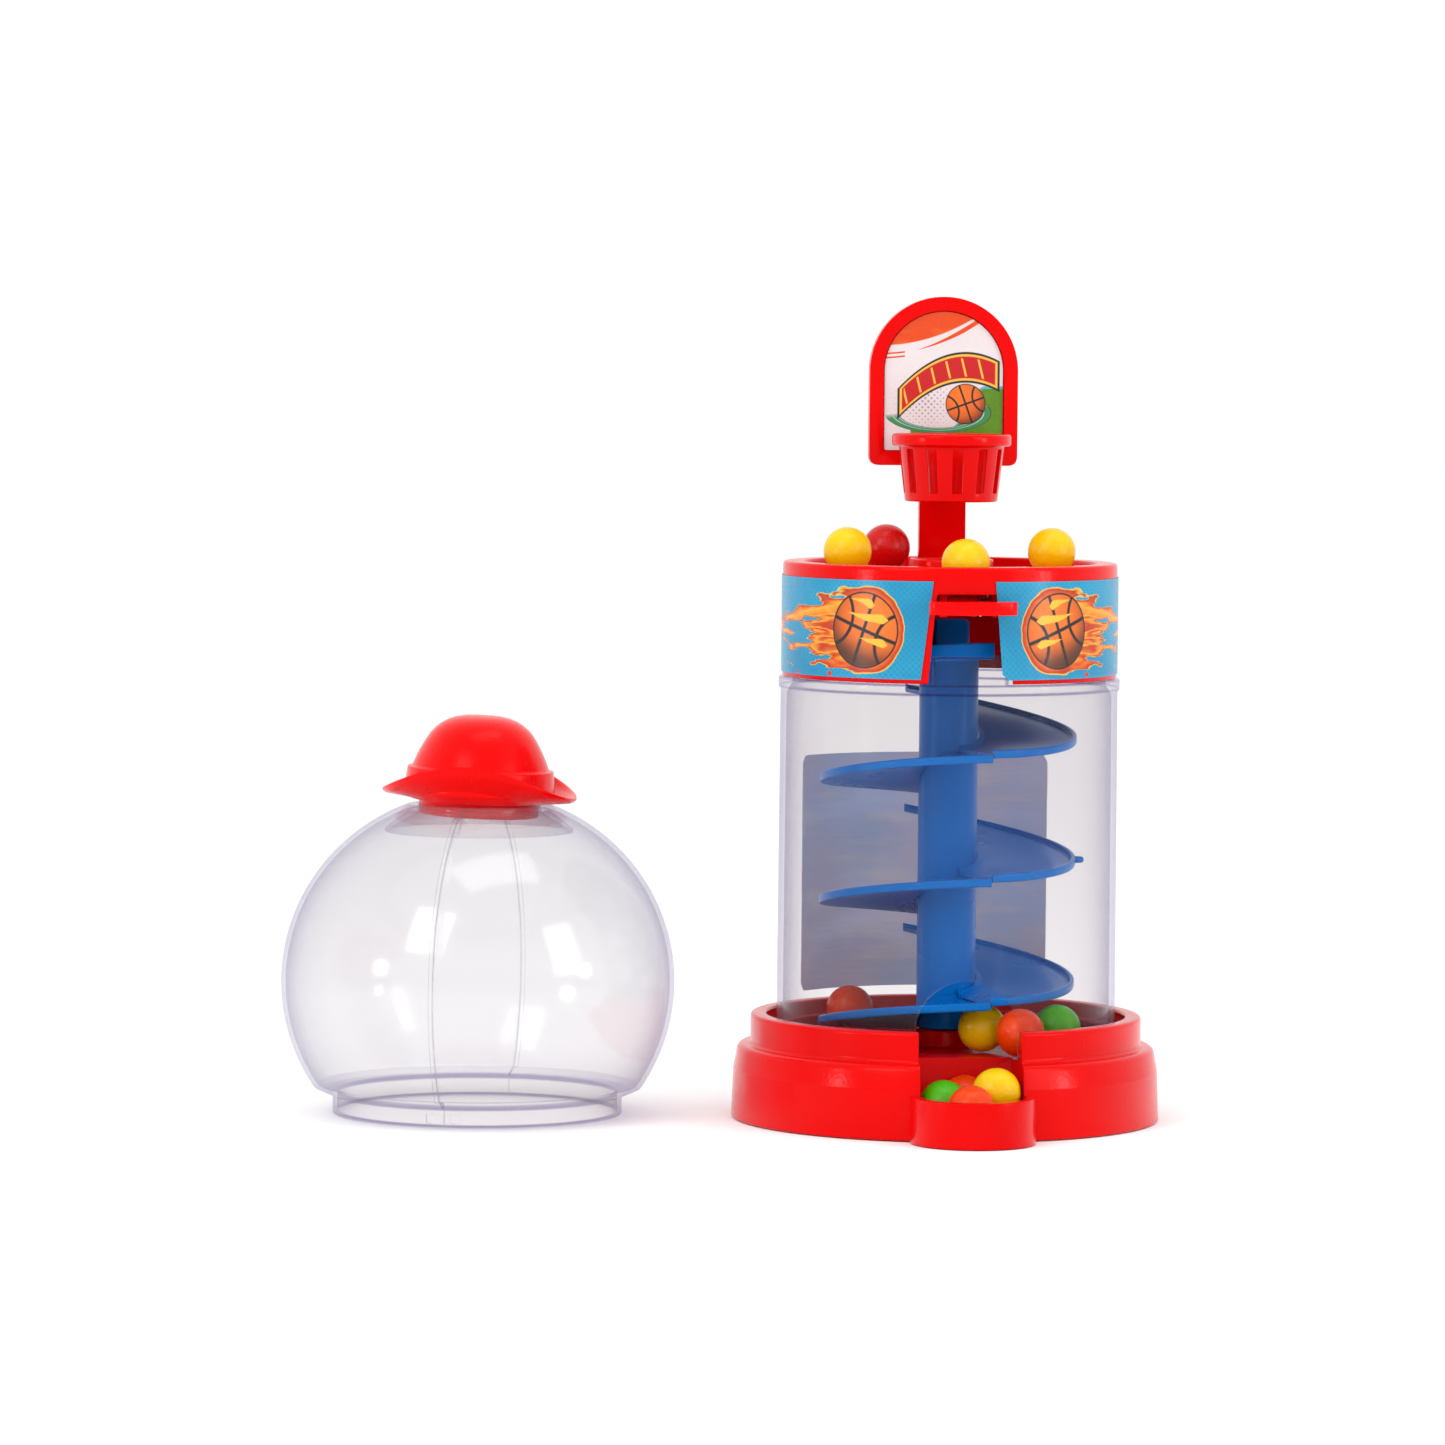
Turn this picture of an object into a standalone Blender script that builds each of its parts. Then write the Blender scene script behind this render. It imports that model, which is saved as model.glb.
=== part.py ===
"""Toy gumball machine: a basketball hoop over a spiral ball run, with a lift-off clear globe.

Units are metres and +Z is up. The machine's front faces -Y, and the origin is on the machine's
axis at the table. Azimuths turn about +Z from the front (-Y) towards +X.
"""
import math

import bmesh
import bpy
from mathutils import Matrix, Vector

MM = 0.001
GAP = 0.3 * MM              # clearance between pieces that touch
SEGMENTS = 40               # facets round a turned piece
MERGE = 0.00001

# Base
BASE_RADIUS = 56.6 * MM
RING_RADIUS = 51.7 * MM
RING_TOP = 27.5 * MM
FLOOR_TOP = 19.0 * MM       # upper floor, where the balls gather
BOSS_RADIUS = 7.7 * MM
BOSS_TOP = 23.5 * MM
NOTCH_HALF = 13.4 * MM      # half-width of the front notch and tray
TRAY_WALL = 2.6 * MM
TRAY_FLOOR = 2.3 * MM
TRAY_BACK = -31.0 * MM
LOBE_TOP = 11.8 * MM
SCREW_CIRCLE = 40.0 * MM
SCREW_COUNT = 4

# Clear tube
TUBE_RADIUS = 44.85 * MM
TUBE_TOP_RADIUS = 44.45 * MM
TUBE_WALL = 1.6 * MM
TUBE_BOTTOM = FLOOR_TOP + GAP
TUBE_TOP = 116.7 * MM
ARCH_HALF = 13.5 * MM
ARCH_CENTRE = 26.8 * MM

# Spiral
COLUMN_RADIUS = 7.8 * MM
COLUMN_FOOT = BOSS_TOP + GAP
COLUMN_SHOULDER = 122.0 * MM
SPIGOT_RADIUS = 5.3 * MM
SPIGOT_TOP = 133.0 * MM
RAMP_RADIUS = 33.9 * MM
RAMP_INNER = COLUMN_RADIUS + GAP
PITCH = 32.3 * MM
SEAM = 13.0                 # azimuth of the front seam, degrees
FIRST_LEFT_RIM = 98.2 * MM  # rim height where the first left half-turn starts
FIRST_RIGHT_RIM = 113.1 * MM
LEFT_DROP = 11.1 * MM
RIGHT_DROP = 13.7 * MM
RAMP_DEPTH = 2.2            # from rim to underside, millimetres
LANDING_LIP = 2.2           # how much deeper the landing is in the window, millimetres
LIP_END = 0.4               # share of a half-turn where that lip has faded out
LIP_FADE = 0.2              # share over which it fades

# Collar and bowl
COLLAR_RADIUS = 44.1 * MM
COLLAR_BOTTOM = TUBE_TOP + GAP
COLLAR_TOP = 147.2 * MM
BOWL_RADIUS = 38.6 * MM
BOWL_FLOOR = 143.5 * MM
BOWL_UNDERSIDE = 142.0 * MM
CATCH_HOLE = 9.5 * MM
LAUNCH_Y = -31.0 * MM
LAUNCH_HOLE = 4.9 * MM

# Lever
PIN_Y = -38.0 * MM
PIN_Z = 137.0 * MM
PIN_RADIUS = 1.25 * MM
TAB_HALF = 11.5 * MM
TAB_Y = -45.4 * MM
LEVER_LOW = 135.1 * MM
LEVER_HIGH = 138.5 * MM

# Backboard and hoop
BOARD_HALF = 19.85 * MM
BOARD_BOTTOM = 172.2 * MM
BOARD_STRAIGHT = 197.2 * MM
BOARD_FRONT = 16.5 * MM
BOARD_BACK = 20.0 * MM
BOARD_BORDER = 3.7 * MM
POST_HALF = 6.2 * MM
HOOP_RADIUS = 15.7 * MM
HOOP_TOP = 180.9 * MM
HOOP_SLOTS = 12

# Globe and hat
GLOBE_AT = Vector((-123.4, 11.9, 0.0)) * MM
GLOBE_SEAM = -16.5          # azimuth of the seam, degrees
GLOBE_RADIUS = 52.1 * MM
GLOBE_SEMI_HEIGHT = 50.5 * MM
GLOBE_CENTRE = 34.9 * MM
GLOBE_WALL = 1.2 * MM
NECK_RADIUS = 38.3 * MM
NECK_TOP = 5.3 * MM
MOUTH_RADIUS = 16.4 * MM
HAT_BOTTOM = 82.5 * MM
HAT_TOP = 105.4 * MM
HAT_YAW = -14.0             # degrees
HAT_TILT = 2.4              # degrees
HAT_LIFT = 0.5 * MM

BALL = 6.35 * MM

RED = (0.69, 0.0, 0.0, 1.0)
LEVER_RED = (0.92, 0.0, 0.0, 1.0)
BLUE = (0.0, 0.12, 0.42, 1.0)
CLEAR = (0.9, 0.9, 0.93, 0.3)
STICKER = (0.01, 0.34, 0.56, 1.0)
PAPER = (0.8, 0.74, 0.72, 1.0)
LABEL = (0.27, 0.27, 0.36, 1.0)
STEEL = (0.6, 0.6, 0.62, 1.0)
YELLOW = (0.9, 0.58, 0.0, 1.0)
BALL_RED = (0.67, 0.0, 0.0, 1.0)
GREEN = (0.07, 0.48, 0.01, 1.0)
ORANGE = (0.9, 0.07, 0.0, 1.0)


def clear_scene():
    for item in list(bpy.data.objects):
        bpy.data.objects.remove(item, do_unlink=True)


def collection(name):
    group = bpy.data.collections.new(name)
    bpy.context.scene.collection.children.link(group)
    return group


clear_scene()
PARTS = collection("gumball_machine")
CUTTERS = collection("cutters")


def plastic(name, colour, roughness=0.25, metallic=0.0):
    """Principled material for one piece."""
    material = bpy.data.materials.new(name)
    material.use_nodes = True
    shader = material.node_tree.nodes["Principled BSDF"]
    shader.inputs["Base Color"].default_value = colour
    shader.inputs["Roughness"].default_value = roughness
    shader.inputs["Metallic"].default_value = metallic
    shader.inputs["Alpha"].default_value = colour[3]
    material.diffuse_color = colour
    return material


def add(name, mesh, colour=None, metallic=0.0):
    """Link a mesh as a part, or as a hidden cutter when it has no colour."""
    piece = bpy.data.objects.new(name, mesh)
    if colour is None:
        CUTTERS.objects.link(piece)
        piece.hide_render = True
        piece.display_type = "WIRE"
    else:
        PARTS.objects.link(piece)
        mesh.materials.append(plastic(name, colour, metallic=metallic))
    return piece


def mesh_from(name, build):
    """Mesh made by a function that fills a bmesh."""
    mesh = bpy.data.meshes.new(name)
    shape = bmesh.new()
    build(shape)
    bmesh.ops.recalc_face_normals(shape, faces=shape.faces)
    shape.to_mesh(mesh)
    shape.free()
    return mesh


def turned(name, outline, colour=None, segments=SEGMENTS, closed=True, metallic=0.0):
    """Turn an outline of (radius, z) points about Z.

    The outline runs down the outer side and, when closed, back up the inner one.
    """
    mesh = bpy.data.meshes.new(name)
    points = [(radius, 0.0, z) for radius, z in outline]
    edges = [(i, i + 1) for i in range(len(points) - 1)]
    if closed:
        edges.append((len(points) - 1, 0))
    mesh.from_pydata(points, edges, [])
    piece = add(name, mesh, colour, metallic)
    screw = piece.modifiers.new("turn", "SCREW")
    screw.steps = segments
    screw.render_steps = segments
    screw.use_merge_vertices = True
    screw.merge_threshold = MERGE
    screw.use_smooth_shade = True
    return piece


def box(name, low, high, colour=None, matrix=None):
    """Box between two corners, with its mesh optionally moved by a matrix."""
    low = Vector(low)
    high = Vector(high)

    def build(shape):
        bmesh.ops.create_cube(shape, size=1.0)
        size = Matrix.Diagonal((*(high - low), 1.0))
        place = Matrix.Translation((low + high) / 2) @ size
        bmesh.ops.transform(shape, matrix=(matrix or Matrix()) @ place, verts=shape.verts)

    return add(name, mesh_from(name, build), colour)


def rod(name, radius, start, end, colour=None, segments=20, metallic=0.0):
    """Solid cylinder between two points."""
    start = Vector(start)
    end = Vector(end)
    along = end - start

    def build(shape):
        bmesh.ops.create_cone(shape, cap_ends=True, segments=segments, radius1=radius,
                              radius2=radius, depth=along.length)
        turn = along.to_track_quat("Z", "Y").to_matrix().to_4x4()
        place = Matrix.Translation((start + end) / 2) @ turn
        bmesh.ops.transform(shape, matrix=place, verts=shape.verts)

    piece = add(name, mesh_from(name, build), colour, metallic)
    piece.data.shade_smooth()
    piece.data.set_sharp_from_angle(angle=math.radians(35))
    return piece


def combine(piece, tool, operation="DIFFERENCE"):
    """Exact Boolean of a piece with a hidden tool."""
    cut = piece.modifiers.new(tool.name, "BOOLEAN")
    cut.operation = operation
    cut.solver = "EXACT"
    cut.object = tool
    return piece


def join(piece, tool):
    return combine(piece, tool, "UNION")


def keep_inside(piece, tool):
    return combine(piece, tool, "INTERSECT")


def arc(centre, radius, first, last, steps):
    """Points of an arc in a plane, between two angles in degrees."""
    points = []
    for step in range(steps + 1):
        angle = math.radians(first + (last - first) * step / steps)
        points.append((centre[0] + radius * math.cos(angle), centre[1] + radius * math.sin(angle)))
    return points


def flat(name, outline, low, high, colour=None, upright=False):
    """Flat outline given a thickness: along Z, or along Y when it stands upright."""
    curve = bpy.data.curves.new(name, "CURVE")
    curve.dimensions = "2D"
    curve.fill_mode = "BOTH"
    curve.extrude = (high - low) / 2
    spline = curve.splines.new("POLY")
    spline.points.add(len(outline) - 1)
    for point, (first, second) in zip(spline.points, outline):
        point.co = (first, second, 0.0, 1.0)
    spline.use_cyclic_u = True
    guide = bpy.data.objects.new(name + "_outline", curve)
    bpy.context.scene.collection.objects.link(guide)
    bpy.context.view_layer.update()
    mesh = bpy.data.meshes.new_from_object(guide.evaluated_get(bpy.context.evaluated_depsgraph_get()))
    bpy.data.objects.remove(guide, do_unlink=True)
    mesh.name = name
    shape = bmesh.new()
    shape.from_mesh(mesh)
    bmesh.ops.remove_doubles(shape, verts=shape.verts, dist=MERGE)
    middle = (low + high) / 2
    place = Matrix.Translation((0.0, 0.0, middle))
    if upright:
        place = Matrix.Translation((0.0, middle, 0.0)) @ Matrix.Rotation(math.pi / 2, 4, "X")
    bmesh.ops.transform(shape, matrix=place, verts=shape.verts)
    bmesh.ops.recalc_face_normals(shape, faces=shape.faces)
    shape.to_mesh(mesh)
    shape.free()
    return add(name, mesh, colour)


def at_azimuth(radius, azimuth, z=0.0):
    """Point at a radius and an azimuth in degrees."""
    angle = math.radians(azimuth)
    return Vector((radius * math.sin(angle), -radius * math.cos(angle), z))


# ---------------------------------------------------------------- base

def base_shell():
    """Stepped drum with an upper floor, a front notch, a tray and four screw bosses."""
    wall = 2.4 * MM
    outline = [(0.0, BOSS_TOP), (BOSS_RADIUS, BOSS_TOP), (BOSS_RADIUS, FLOOR_TOP),
               (45.2 * MM, FLOOR_TOP), (45.2 * MM, BOSS_TOP), (47.4 * MM, BOSS_TOP),
               (47.4 * MM, 26.9 * MM), (48.0 * MM, RING_TOP), (51.1 * MM, RING_TOP),
               (RING_RADIUS, 26.9 * MM), (RING_RADIUS, 20.2 * MM), (52.4 * MM, 19.5 * MM)]
    outline += arc((51.6 * MM, 14.5 * MM), 4.7 * MM, 75, 10, 4)
    outline += [(BASE_RADIUS, 0.0), (BASE_RADIUS - wall, 0.0), (53.4 * MM, 13.5 * MM),
                (50.0 * MM, 17.0 * MM), (0.0, 17.0 * MM)]
    shell = turned("base_shell", outline, RED, closed=False)
    outer = NOTCH_HALF + TRAY_WALL
    join(shell, box("tray_block", (-outer, -50 * MM, 0), (outer, TRAY_BACK + 2 * MM, 18.2 * MM)))
    lobe = (0.0, -BASE_RADIUS)
    join(shell, rod("tray_lobe", 16.2 * MM, (*lobe, 0), (*lobe, LOBE_TOP), segments=32))
    for index in range(SCREW_COUNT):
        foot = at_azimuth(SCREW_CIRCLE, 45 + 90 * index)
        low = foot + Vector((0, 0, 4.8 * MM))
        join(shell, rod(f"boss_{index}", 3.6 * MM, low, foot + Vector((0, 0, 17.6 * MM)), segments=12))
    combine(shell, box("notch", (-NOTCH_HALF, lobe[1], TRAY_FLOOR), (NOTCH_HALF, TRAY_BACK, 40 * MM)))
    combine(shell, rod("lobe_hollow", 13.6 * MM, (*lobe, TRAY_FLOOR), (*lobe, 41 * MM), segments=32))
    for index in range(SCREW_COUNT):
        foot = at_azimuth(SCREW_CIRCLE, 45 + 90 * index)
        top = foot + Vector((0, 0, 15 * MM))
        combine(shell, rod(f"pilot_{index}", 1.5 * MM, foot + Vector((0, 0, 2 * MM)), top, segments=12))


def bottom_plate():
    """Disc that closes the base, with a cup round each screw head."""
    thickness = 1.8 * MM
    plate = rod("bottom_plate", 53.2 * MM, (0, 0, 0), (0, 0, thickness), RED, segments=SEGMENTS)
    side = NOTCH_HALF + TRAY_WALL + 0.8 * MM
    for index in range(SCREW_COUNT):
        foot = at_azimuth(SCREW_CIRCLE, 45 + 90 * index)
        cup = rod(f"cup_{index}", 5.0 * MM, foot + Vector((0, 0, 1 * MM)),
                  foot + Vector((0, 0, 4.5 * MM)), segments=16)
        join(plate, cup)
    combine(plate, box("tray_room", (-side, -70 * MM, -5 * MM), (side, TRAY_BACK + 2.8 * MM, 9 * MM)))
    for index in range(SCREW_COUNT):
        foot = at_azimuth(SCREW_CIRCLE, 45 + 90 * index)
        head = rod(f"head_room_{index}", 3.4 * MM, foot + Vector((0, 0, -2 * MM)),
                   foot + Vector((0, 0, 2.7 * MM)), segments=16)
        combine(plate, head)
        shank = rod(f"shank_room_{index}", 1.6 * MM, foot + Vector((0, 0, 2 * MM)),
                    foot + Vector((0, 0, 6 * MM)), segments=12)
        combine(plate, shank)


def base_screws():
    """Four pan-head screws with a cross recess, driven from below."""
    outline = [(0.0, 12 * MM), (1.2 * MM, 11.3 * MM), (1.2 * MM, 2.4 * MM), (2.9 * MM, 2.4 * MM),
               (2.9 * MM, 1.5 * MM), (2.3 * MM, 0.9 * MM), (0.0, 0.9 * MM)]
    for index in range(SCREW_COUNT):
        screw = turned(f"base_screw_{index + 1}", outline, STEEL, 12, closed=False, metallic=1.0)
        screw.location = at_azimuth(SCREW_CIRCLE, 45 + 90 * index)
        for turn in (0, 1):
            slot = box(f"recess_{index}_{turn}", (-1.7 * MM, -0.35 * MM, 0), (1.7 * MM, 0.35 * MM, 1.7 * MM))
            slot.location = screw.location
            slot.rotation_euler.z = turn * math.pi / 2
            combine(screw, slot)


# ---------------------------------------------------------------- tube and spiral

def clear_tube():
    """Clear barrel with a front arch, a top bead, a hidden neck and a tongue in the window."""
    neck = 42.6 * MM
    outline = [(neck, 121 * MM), (neck, TUBE_TOP), (45.0 * MM, TUBE_TOP), (45.0 * MM, 114.1 * MM),
               (TUBE_TOP_RADIUS, 113.5 * MM), (TUBE_RADIUS, TUBE_BOTTOM),
               (TUBE_RADIUS - TUBE_WALL, TUBE_BOTTOM), (42.9 * MM, 112.5 * MM),
               (41.4 * MM, 115 * MM), (41.4 * MM, 121 * MM)]
    tube = turned("clear_tube", outline, CLEAR)
    tongue = turned("tongue", [(44.3 * MM, 124.1 * MM), (44.3 * MM, 116.3 * MM),
                               (42.0 * MM, 116.3 * MM), (42.0 * MM, 124.1 * MM)])
    keep_inside(tongue, box("tongue_width", (-9.8 * MM, -50 * MM, 110 * MM), (9.8 * MM, -30 * MM, 130 * MM)))
    join(tube, tongue)
    outline = [(-ARCH_HALF, 5 * MM), (ARCH_HALF, 5 * MM)]
    outline += arc((0, ARCH_CENTRE), ARCH_HALF, 0, 180, 14)
    combine(tube, flat("arch", outline, -60 * MM, -30 * MM, upright=True))


def spiral_column():
    """Round column with a spigot that is flat in front and slants down to the rear."""
    outline = [(0.0, SPIGOT_TOP), (SPIGOT_RADIUS, SPIGOT_TOP), (SPIGOT_RADIUS, COLUMN_SHOULDER),
               (COLUMN_RADIUS, COLUMN_SHOULDER), (COLUMN_RADIUS, COLUMN_FOOT), (0.0, COLUMN_FOOT)]
    column = turned("spiral_column", outline, BLUE, 32, closed=False)
    slant = box("slant", (-20 * MM, -20 * MM, 0), (20 * MM, 20 * MM, 20 * MM))
    slant.location = (0, 0, SPIGOT_TOP - 2.4 * MM)
    slant.rotation_euler = (math.radians(-24), 0, 0)
    combine(column, slant)
    combine(column, box("spigot_flat", (-20 * MM, -20 * MM, COLUMN_SHOULDER + 0.6 * MM),
                        (20 * MM, -3.6 * MM, 150 * MM)))


def ramp(name, first, last, rim_height, lip=0.0):
    """Half-turn ramp: a plate 1 mm thick with a raised rim, lofted along a falling path.

    rim_height gives the rim's height from the share of the full half-turn that is passed, and
    lip is how much deeper the underside lies near the start, in millimetres.
    """
    inside_rim = RAMP_RADIUS - 1.2 * MM
    steps = max(2, round(abs(last - first) / 10))

    def build(shape):
        rings = []
        for step in range(steps + 1):
            azimuth = first + (last - first) * step / steps
            share = abs(azimuth - first) / 180.0
            height = rim_height(share)
            foot = -RAMP_DEPTH - lip * min(1.0, max(0.0, (LIP_END - share) / LIP_FADE))
            section = [(RAMP_INNER, foot), (RAMP_RADIUS, foot), (RAMP_RADIUS, 0.0),
                       (inside_rim, 0.0), (inside_rim, foot + 1.0), (RAMP_INNER, foot + 1.0)]
            end = (step == 0) - (step == steps)
            ring = []
            for radius, drop in section:
                back_off = math.degrees(math.asin(GAP / 2 / radius)) * end
                point = at_azimuth(radius, azimuth - back_off, height + drop * MM)
                ring.append(shape.verts.new(point))
            rings.append(ring)
        count = len(rings[0])
        for ring, after in zip(rings, rings[1:]):
            for i in range(count):
                j = (i + 1) % count
                shape.faces.new((ring[i], ring[j], after[j], after[i]))
        shape.faces.new(rings[0])
        shape.faces.new(list(reversed(rings[-1])))

    return add(name, mesh_from(name, build), BLUE)


def left_fall(start, drop=LEFT_DROP):
    """Fall of a left half-turn: level at both ends."""
    return lambda share: start - drop * (1 - math.cos(math.pi * share)) / 2


def right_fall(start):
    """Fall of a right half-turn: steep at the rear, level at the front."""
    return lambda share: start - RIGHT_DROP * math.sin(math.pi * share / 2)


def gusset(ramp_piece, index, seam_rim):
    """Small web that ties the end of a right half-turn to the column."""
    turn = Matrix.Rotation(math.radians(SEAM + 4.5), 4, "Z")
    low = (-0.5 * MM, -15 * MM, seam_rim - 4.6 * MM)
    high = (0.5 * MM, -RAMP_INNER - 0.1 * MM, seam_rim - 1.6 * MM)
    join(ramp_piece, box(f"gusset_{index}", low, high, matrix=turn))


def spiral_ramps():
    """Landing and six half-turns, right and left in turn from the top."""
    rear = SEAM + 180.0
    ramp("spiral_landing", SEAM, SEAM - 180.0, left_fall(127.3 * MM, 10.3 * MM), LANDING_LIP)
    for turn in range(3):
        fall = turn * PITCH
        right = ramp(f"spiral_ramp_{2 * turn + 1}", rear, SEAM, right_fall(FIRST_RIGHT_RIM - fall))
        gusset(right, turn, FIRST_RIGHT_RIM - RIGHT_DROP - fall)
        last = SEAM - (180.0 if turn < 2 else 123.0)
        ramp(f"spiral_ramp_{2 * turn + 2}", SEAM, last, left_fall(FIRST_LEFT_RIM - fall))


# ---------------------------------------------------------------- collar, lever

def bowl_collar():
    """Collar with a shallow bowl, a catch hole, a launch hole, a front window and lever ears."""
    outline = [(39.2 * MM, COLLAR_TOP), (43.2 * MM, COLLAR_TOP), (43.85 * MM, 146.9 * MM),
               (COLLAR_RADIUS, 146.2 * MM), (COLLAR_RADIUS, COLLAR_BOTTOM),
               (42.9 * MM, COLLAR_BOTTOM), (42.9 * MM, BOWL_UNDERSIDE), (CATCH_HOLE, BOWL_UNDERSIDE),
               (CATCH_HOLE, 148 * MM), (11.0 * MM, 148 * MM), (11.3 * MM, 147.7 * MM),
               (11.3 * MM, BOWL_FLOOR), (BOWL_RADIUS, BOWL_FLOOR), (BOWL_RADIUS, 146.6 * MM)]
    collar = turned("bowl_collar", outline, RED)
    window = [(-11.5 * MM, 112 * MM), (11.8 * MM, 112 * MM), (8.4 * MM, 140.2 * MM), (-9 * MM, 140.2 * MM)]
    combine(collar, flat("window", window, -60 * MM, -35 * MM, upright=True))
    hole = rod("launch_hole", LAUNCH_HOLE, (0, 0, 130 * MM), (0, 0, 150 * MM))
    hole.location.y = LAUNCH_Y
    hole.rotation_euler.z = math.radians(5)
    combine(collar, hole)
    for side in (-1, 1):
        near, far = sorted((side * 6.0 * MM, side * 8.0 * MM))
        ear = box(f"ear_{side}", (near, PIN_Y - 2.8 * MM, 134.2 * MM), (far, PIN_Y + 2.8 * MM, 142.6 * MM))
        join(collar, ear)
    bore = rod("pin_bore", PIN_RADIUS + GAP, (-12 * MM, PIN_Y, PIN_Z), (12 * MM, PIN_Y, PIN_Z), segments=16)
    combine(collar, bore)


def launcher_lever():
    """Tab, barrel and lifting finger, which rock on a cross pin."""
    neck = 5.2 * MM
    outline = [(-neck, PIN_Y), (-neck, TAB_Y), (-TAB_HALF, TAB_Y)]
    outline += arc((0, -28.9 * MM), 22.6 * MM, 239.5, 300.5, 8)
    outline += [(TAB_HALF, TAB_Y), (neck, TAB_Y), (neck, PIN_Y)]
    lever = flat("launcher_lever", outline, LEVER_LOW, LEVER_HIGH, LEVER_RED)
    join(lever, rod("barrel", 2.6 * MM, (-5.5 * MM, PIN_Y, PIN_Z), (2.0 * MM, PIN_Y, PIN_Z), segments=16))
    join(lever, box("arm", (-2.5 * MM, PIN_Y - 0.5 * MM, 136 * MM), (2.0 * MM, -28 * MM, 138.9 * MM)))
    join(lever, box("finger", (-2.5 * MM, -33.3 * MM, 138 * MM), (2.5 * MM, -28.1 * MM, 141.2 * MM)))
    combine(lever, box("spring_room", (2.2 * MM, -41.1 * MM, 130 * MM), (6 * MM, -35.1 * MM, 145 * MM)))
    bore = rod("lever_bore", PIN_RADIUS + GAP, (-12 * MM, PIN_Y, PIN_Z), (12 * MM, PIN_Y, PIN_Z), segments=16)
    combine(lever, bore)


def lever_pin():
    ends = [(side * 8.6 * MM, PIN_Y, PIN_Z) for side in (-1, 1)]
    rod("lever_pin", PIN_RADIUS, *ends, STEEL, segments=16, metallic=1.0)


def lever_spring():
    """Torsion spring round the pin, one leg up to the bowl and one under the lever's arm."""
    radius = 2.15 * MM
    turns = 3
    per_turn = 8
    curve = bpy.data.curves.new("lever_spring", "CURVE")
    curve.dimensions = "3D"
    curve.bevel_depth = 0.3 * MM
    curve.bevel_resolution = 1
    curve.use_fill_caps = True
    points = [(2.75 * MM, PIN_Y - 6 * MM, PIN_Z - radius - 0.6 * MM)]
    for step in range(turns * per_turn + per_turn // 4 + 1):
        angle = math.tau * step / per_turn
        across = (2.75 + 2.4 * step / (turns * per_turn + 2)) * MM
        points.append((across, PIN_Y + radius * math.sin(angle), PIN_Z - radius * math.cos(angle)))
    points.append((5.2 * MM, PIN_Y + radius, 141.4 * MM))
    spline = curve.splines.new("POLY")
    spline.points.add(len(points) - 1)
    for knot, point in zip(spline.points, points):
        knot.co = (*point, 1.0)
    spring = bpy.data.objects.new("lever_spring", curve)
    curve.materials.append(plastic("lever_spring", STEEL, metallic=1.0))
    PARTS.objects.link(spring)


# ---------------------------------------------------------------- backboard and hoop

def board_outline(inset):
    """Backboard's outline, drawn in from its edge by a distance."""
    half = BOARD_HALF - inset
    low = BOARD_BOTTOM + inset
    corner = 2.4 * MM if inset == 0 else 0.8 * MM
    outline = arc((-half + corner, low + corner), corner, 180, 270, 3)
    outline += arc((half - corner, low + corner), corner, 270, 360, 3)
    outline += arc((0, BOARD_STRAIGHT), half, 0, 180, 20)
    return outline


def backboard_post():
    """Board with a raised border, on a flat post."""
    board = flat("backboard_post", board_outline(0), BOARD_FRONT, BOARD_BACK, RED, upright=True)
    recess = flat("board_recess", board_outline(BOARD_BORDER), 10 * MM, BOARD_FRONT + 1.2 * MM, upright=True)
    combine(board, recess)
    low = (-POST_HALF, 17 * MM, BOWL_FLOOR + GAP)
    join(board, box("post", low, (POST_HALF, BOARD_BACK - 0.1 * MM, BOARD_BOTTOM + 2 * MM)))


def backboard_sticker():
    flat("backboard_sticker", board_outline(BOARD_BORDER + GAP), BOARD_FRONT + 0.65 * MM,
         BOARD_FRONT + 0.9 * MM, PAPER, upright=True)


def hoop_basket():
    """Slotted basket with a thick rim and a bracket behind."""
    outline = [(15.2 * MM, HOOP_TOP), (HOOP_RADIUS, 180.4 * MM), (HOOP_RADIUS, 178.2 * MM),
               (15.2 * MM, 177.7 * MM), (13.9 * MM, 177.7 * MM), (12.2 * MM, 163.1 * MM),
               (10.9 * MM, 163.1 * MM), (12.6 * MM, 177.7 * MM), (13.0 * MM, HOOP_TOP)]
    hoop = turned("hoop_basket", outline, RED)
    join(hoop, box("bracket", (-4.5 * MM, 13.6 * MM, 174.5 * MM), (4.5 * MM, 16.2 * MM, 180.3 * MM)))

    def build(shape):
        for index in range(HOOP_SLOTS):
            if index == HOOP_SLOTS // 2:
                continue
            turn = Matrix.Rotation(math.tau * index / HOOP_SLOTS, 4, "Z")
            size = Matrix.Diagonal((2.8 * MM, 8 * MM, 11.7 * MM, 1.0))
            place = turn @ Matrix.Translation((0, -13 * MM, 171.15 * MM)) @ size
            bmesh.ops.create_cube(shape, size=1.0, matrix=place)

    combine(hoop, add("slots", mesh_from("slots", build)))


# ---------------------------------------------------------------- stickers

def wrapped(name, radius, low, high, below, above, colour):
    """Thin sheet wrapped round the axis.

    below and above are the azimuths where its lower and its upper edge start and end.
    """
    thickness = 0.2 * MM
    steps = max(4, round(abs(below[1] - below[0]) / 7.5))

    def build(shape):
        rings = []
        for step in range(steps + 1):
            lower, upper = (ends[0] + (ends[1] - ends[0]) * step / steps for ends in (below, above))
            corners = ((radius, lower, low), (radius + thickness, lower, low),
                       (radius + thickness, upper, high), (radius, upper, high))
            rings.append([shape.verts.new(at_azimuth(*corner)) for corner in corners])
        for ring, after in zip(rings, rings[1:]):
            for i in range(4):
                j = (i + 1) % 4
                shape.faces.new((ring[i], ring[j], after[j], after[i]))
        shape.faces.new(rings[0])
        shape.faces.new(list(reversed(rings[-1])))

    return add(name, mesh_from(name, build), colour)


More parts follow.
